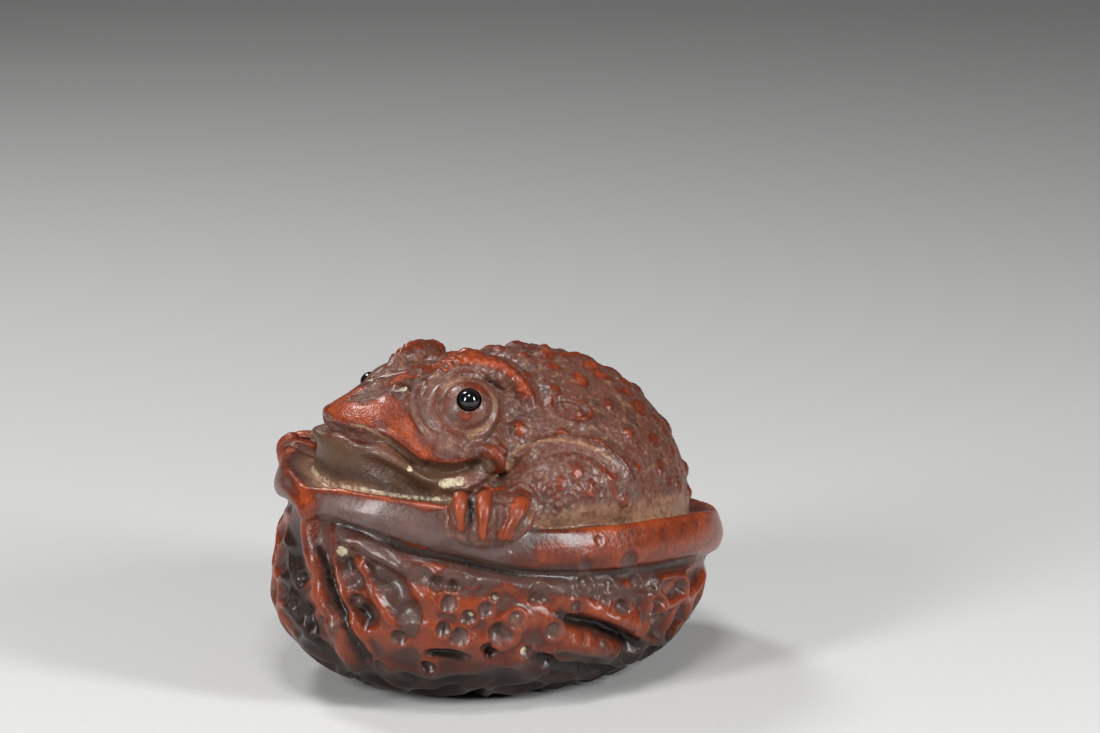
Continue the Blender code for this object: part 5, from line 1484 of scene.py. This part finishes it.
def eye_frame(centre, side):
    """Where a bead sits: its own Z runs out of the eye."""
    aim = Vector((side * EYE_AIM.x, EYE_AIM.y, EYE_AIM.z))
    turn = aim.to_track_quat("Z", "Y").to_matrix().to_4x4()
    return Matrix.Translation((Vector(centre) - aim * BEAD_SUNK) * MM) @ turn


def make_bead(name, centre, side, material):
    bm = bmesh.new()
    bmesh.ops.create_icosphere(bm, subdivisions=5, radius=BEAD_DIAMETER / 2 * MM)
    bead = link_mesh(name, bm)
    bead.data.transform(eye_frame(centre, side))
    bead.data.shade_smooth()
    bead.data.materials.append(material)
    return bead


def cut_sockets(body, beads):
    """Round-ended holes that hold the beads with BEAD_GAP all round, and the flat foot."""
    bm = bmesh.new()
    for centre, side in zip(beads, (1, -1)):
        place = eye_frame(centre, side)
        radius = (BEAD_DIAMETER / 2 + BEAD_GAP) * MM
        made = bmesh.ops.create_uvsphere(bm, u_segments=64, v_segments=32, radius=radius)
        for vert in made["verts"]:
            if vert.co.z > 0.1 * BEAD_GAP * MM:
                vert.co.z += BEAD_DIAMETER * MM
            vert.co = place @ vert.co
    size = 1.2 * max(SHELL_LENGTH, SHELL_WIDTH) * MM
    depth = 10 * MM
    under = Matrix.Translation((0, 0, -depth / 2)) @ Matrix.Diagonal((size, size, depth, 1.0))
    bmesh.ops.create_cube(bm, size=1.0, matrix=under)
    cutter = link_mesh("cutters", bm)
    boolean = body.modifiers.new("Cut", "BOOLEAN")
    boolean.operation = "DIFFERENCE"
    boolean.solver = "EXACT"
    boolean.object = cutter
    settle(body)
    bpy.data.objects.remove(cutter)


def thin(body):
    """Cuts the triangles down to the number that is kept, where the form is plainest."""
    decimate = body.modifiers.new("Thin", "DECIMATE")
    decimate.ratio = BODY_TRIANGLES / (2 * len(body.data.polygons))
    settle(body)


def make_body():
    """The carved clay, and where its beads sit."""
    body = fused_form()
    body.name = "clay_toad_in_walnut"
    clay = Clay(body)
    carve(clay)
    beads = [centre - (0, 0, FOOT_TRIM) for centre in bead_centres(clay)]
    clay.finish()
    clay = Clay(body)
    skin = regions(clay.places)[3]
    carve_fine(clay)
    carve_skin(clay, skin * (1 - eased(*SMOOTH_ROUND_EYE, eye_distance(clay))))
    clay.finish()
    clay = Clay(body)
    add_layers(clay)
    write_layers(clay)
    clay.places[:, 2] -= FOOT_TRIM
    clay.finish()
    body.data.transform(Matrix.Scale(MM, 4))
    thin(body)
    cut_sockets(body, beads)
    body.data.shade_smooth()
    body.data.materials.clear()
    body.data.materials.append(clay_material())
    return body, beads


def eye_distance(clay):
    centre = clay.seen(*EYE)
    return np.minimum(
        np.linalg.norm(clay.places - centre, axis=1),
        np.linalg.norm(clay.places - centre * MIRROR, axis=1),
    )


# stage, lamps and camera

def make_stage():
    """A pale floor that curves up into a backdrop far behind."""
    near, far, bend, top, half_width = -2.0, 1.2, 0.8, 3.0, 4.0
    bm = bmesh.new()
    profile = [(near, 0.0), (far, 0.0)]
    for degrees in range(10, 91, 10):
        turn = math.radians(degrees)
        profile.append((far + bend * math.sin(turn), bend * (1 - math.cos(turn))))
    profile.append((far + bend, top))
    rows = [[bm.verts.new((x, y, z)) for x in (-half_width, half_width)] for y, z in profile]
    for low, high in zip(rows, rows[1:]):
        bm.faces.new((low[0], low[1], high[1], high[0]))
    stage = link_mesh("pale_stage", bm)
    stage.rotation_euler.z = math.radians(VIEW_AZIMUTH)
    stage.data.shade_smooth()
    stage.data.materials.append(floor_material())


def make_lamp(name, azimuth, elevation, distance, width, height, power):
    """A soft box that looks at the toad, placed as a camera would be."""
    lamp = bpy.data.lights.new(name, "AREA")
    lamp.shape = "RECTANGLE"
    lamp.size = width
    lamp.size_y = height
    lamp.energy = power
    obj = bpy.data.objects.new(name, lamp)
    back = direction(math.radians(azimuth), math.radians(elevation))
    obj.location = VIEW_CENTRE * MM + back * distance
    obj.rotation_euler = (-back).to_track_quat("-Z", "Y").to_euler()
    bpy.context.scene.collection.objects.link(obj)


def make_lamps():
    for settings in LAMPS:
        make_lamp(*settings)
    world = bpy.data.worlds.new("studio")
    bpy.context.scene.world = world
    world.use_nodes = True
    world.node_tree.nodes["Background"].inputs["Color"].default_value = ROOM_COLOUR
    world.node_tree.nodes["Background"].inputs["Strength"].default_value = ROOM_STRENGTH


def make_camera():
    """The photograph's view: a long lens, with the foot's middle where the picture has it."""
    right, back, up = view_axes()
    data = bpy.data.cameras.new("camera")
    data.sensor_width = SENSOR_WIDTH
    data.lens = PIXELS_PER_METRE * data.sensor_width * EYE_DISTANCE * MM / PICTURE_WIDTH
    data.clip_start = 0.01
    data.clip_end = 20.0
    camera = bpy.data.objects.new("camera", data)
    bpy.context.scene.collection.objects.link(camera)
    bpy.context.scene.camera = camera
    centre = VIEW_CENTRE * MM
    foot_below = centre.z * math.cos(math.radians(VIEW_ELEVATION)) * PIXELS_PER_METRE
    aside = (PICTURE_WIDTH / 2 - FOOT_X) / PIXELS_PER_METRE
    above = (FOOT_Y - foot_below - PICTURE_HEIGHT / 2) / PIXELS_PER_METRE
    camera.location = centre + back * EYE_DISTANCE * MM
    target = centre + right * aside + up * above
    camera.rotation_mode = "QUATERNION"
    camera.rotation_quaternion = (target - camera.location).to_track_quat("-Z", "Y")


def build():
    for obj in list(bpy.data.objects):
        bpy.data.objects.remove(obj)
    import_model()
    bpy.context.scene.view_settings.view_transform = "Standard"
    make_camera()
    make_stage()
    make_lamps()
    body, beads = make_body()
    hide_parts("toad_in_walnut")
    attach(body, "root")
    glass = bead_material()
    for name, centre, side in zip(("left", "right"), beads, (1, -1)):
        bead = make_bead(f"glass_eye_{name}", centre, side, glass)
        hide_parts(f"eye_{name}")
        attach(bead, "root")


build()
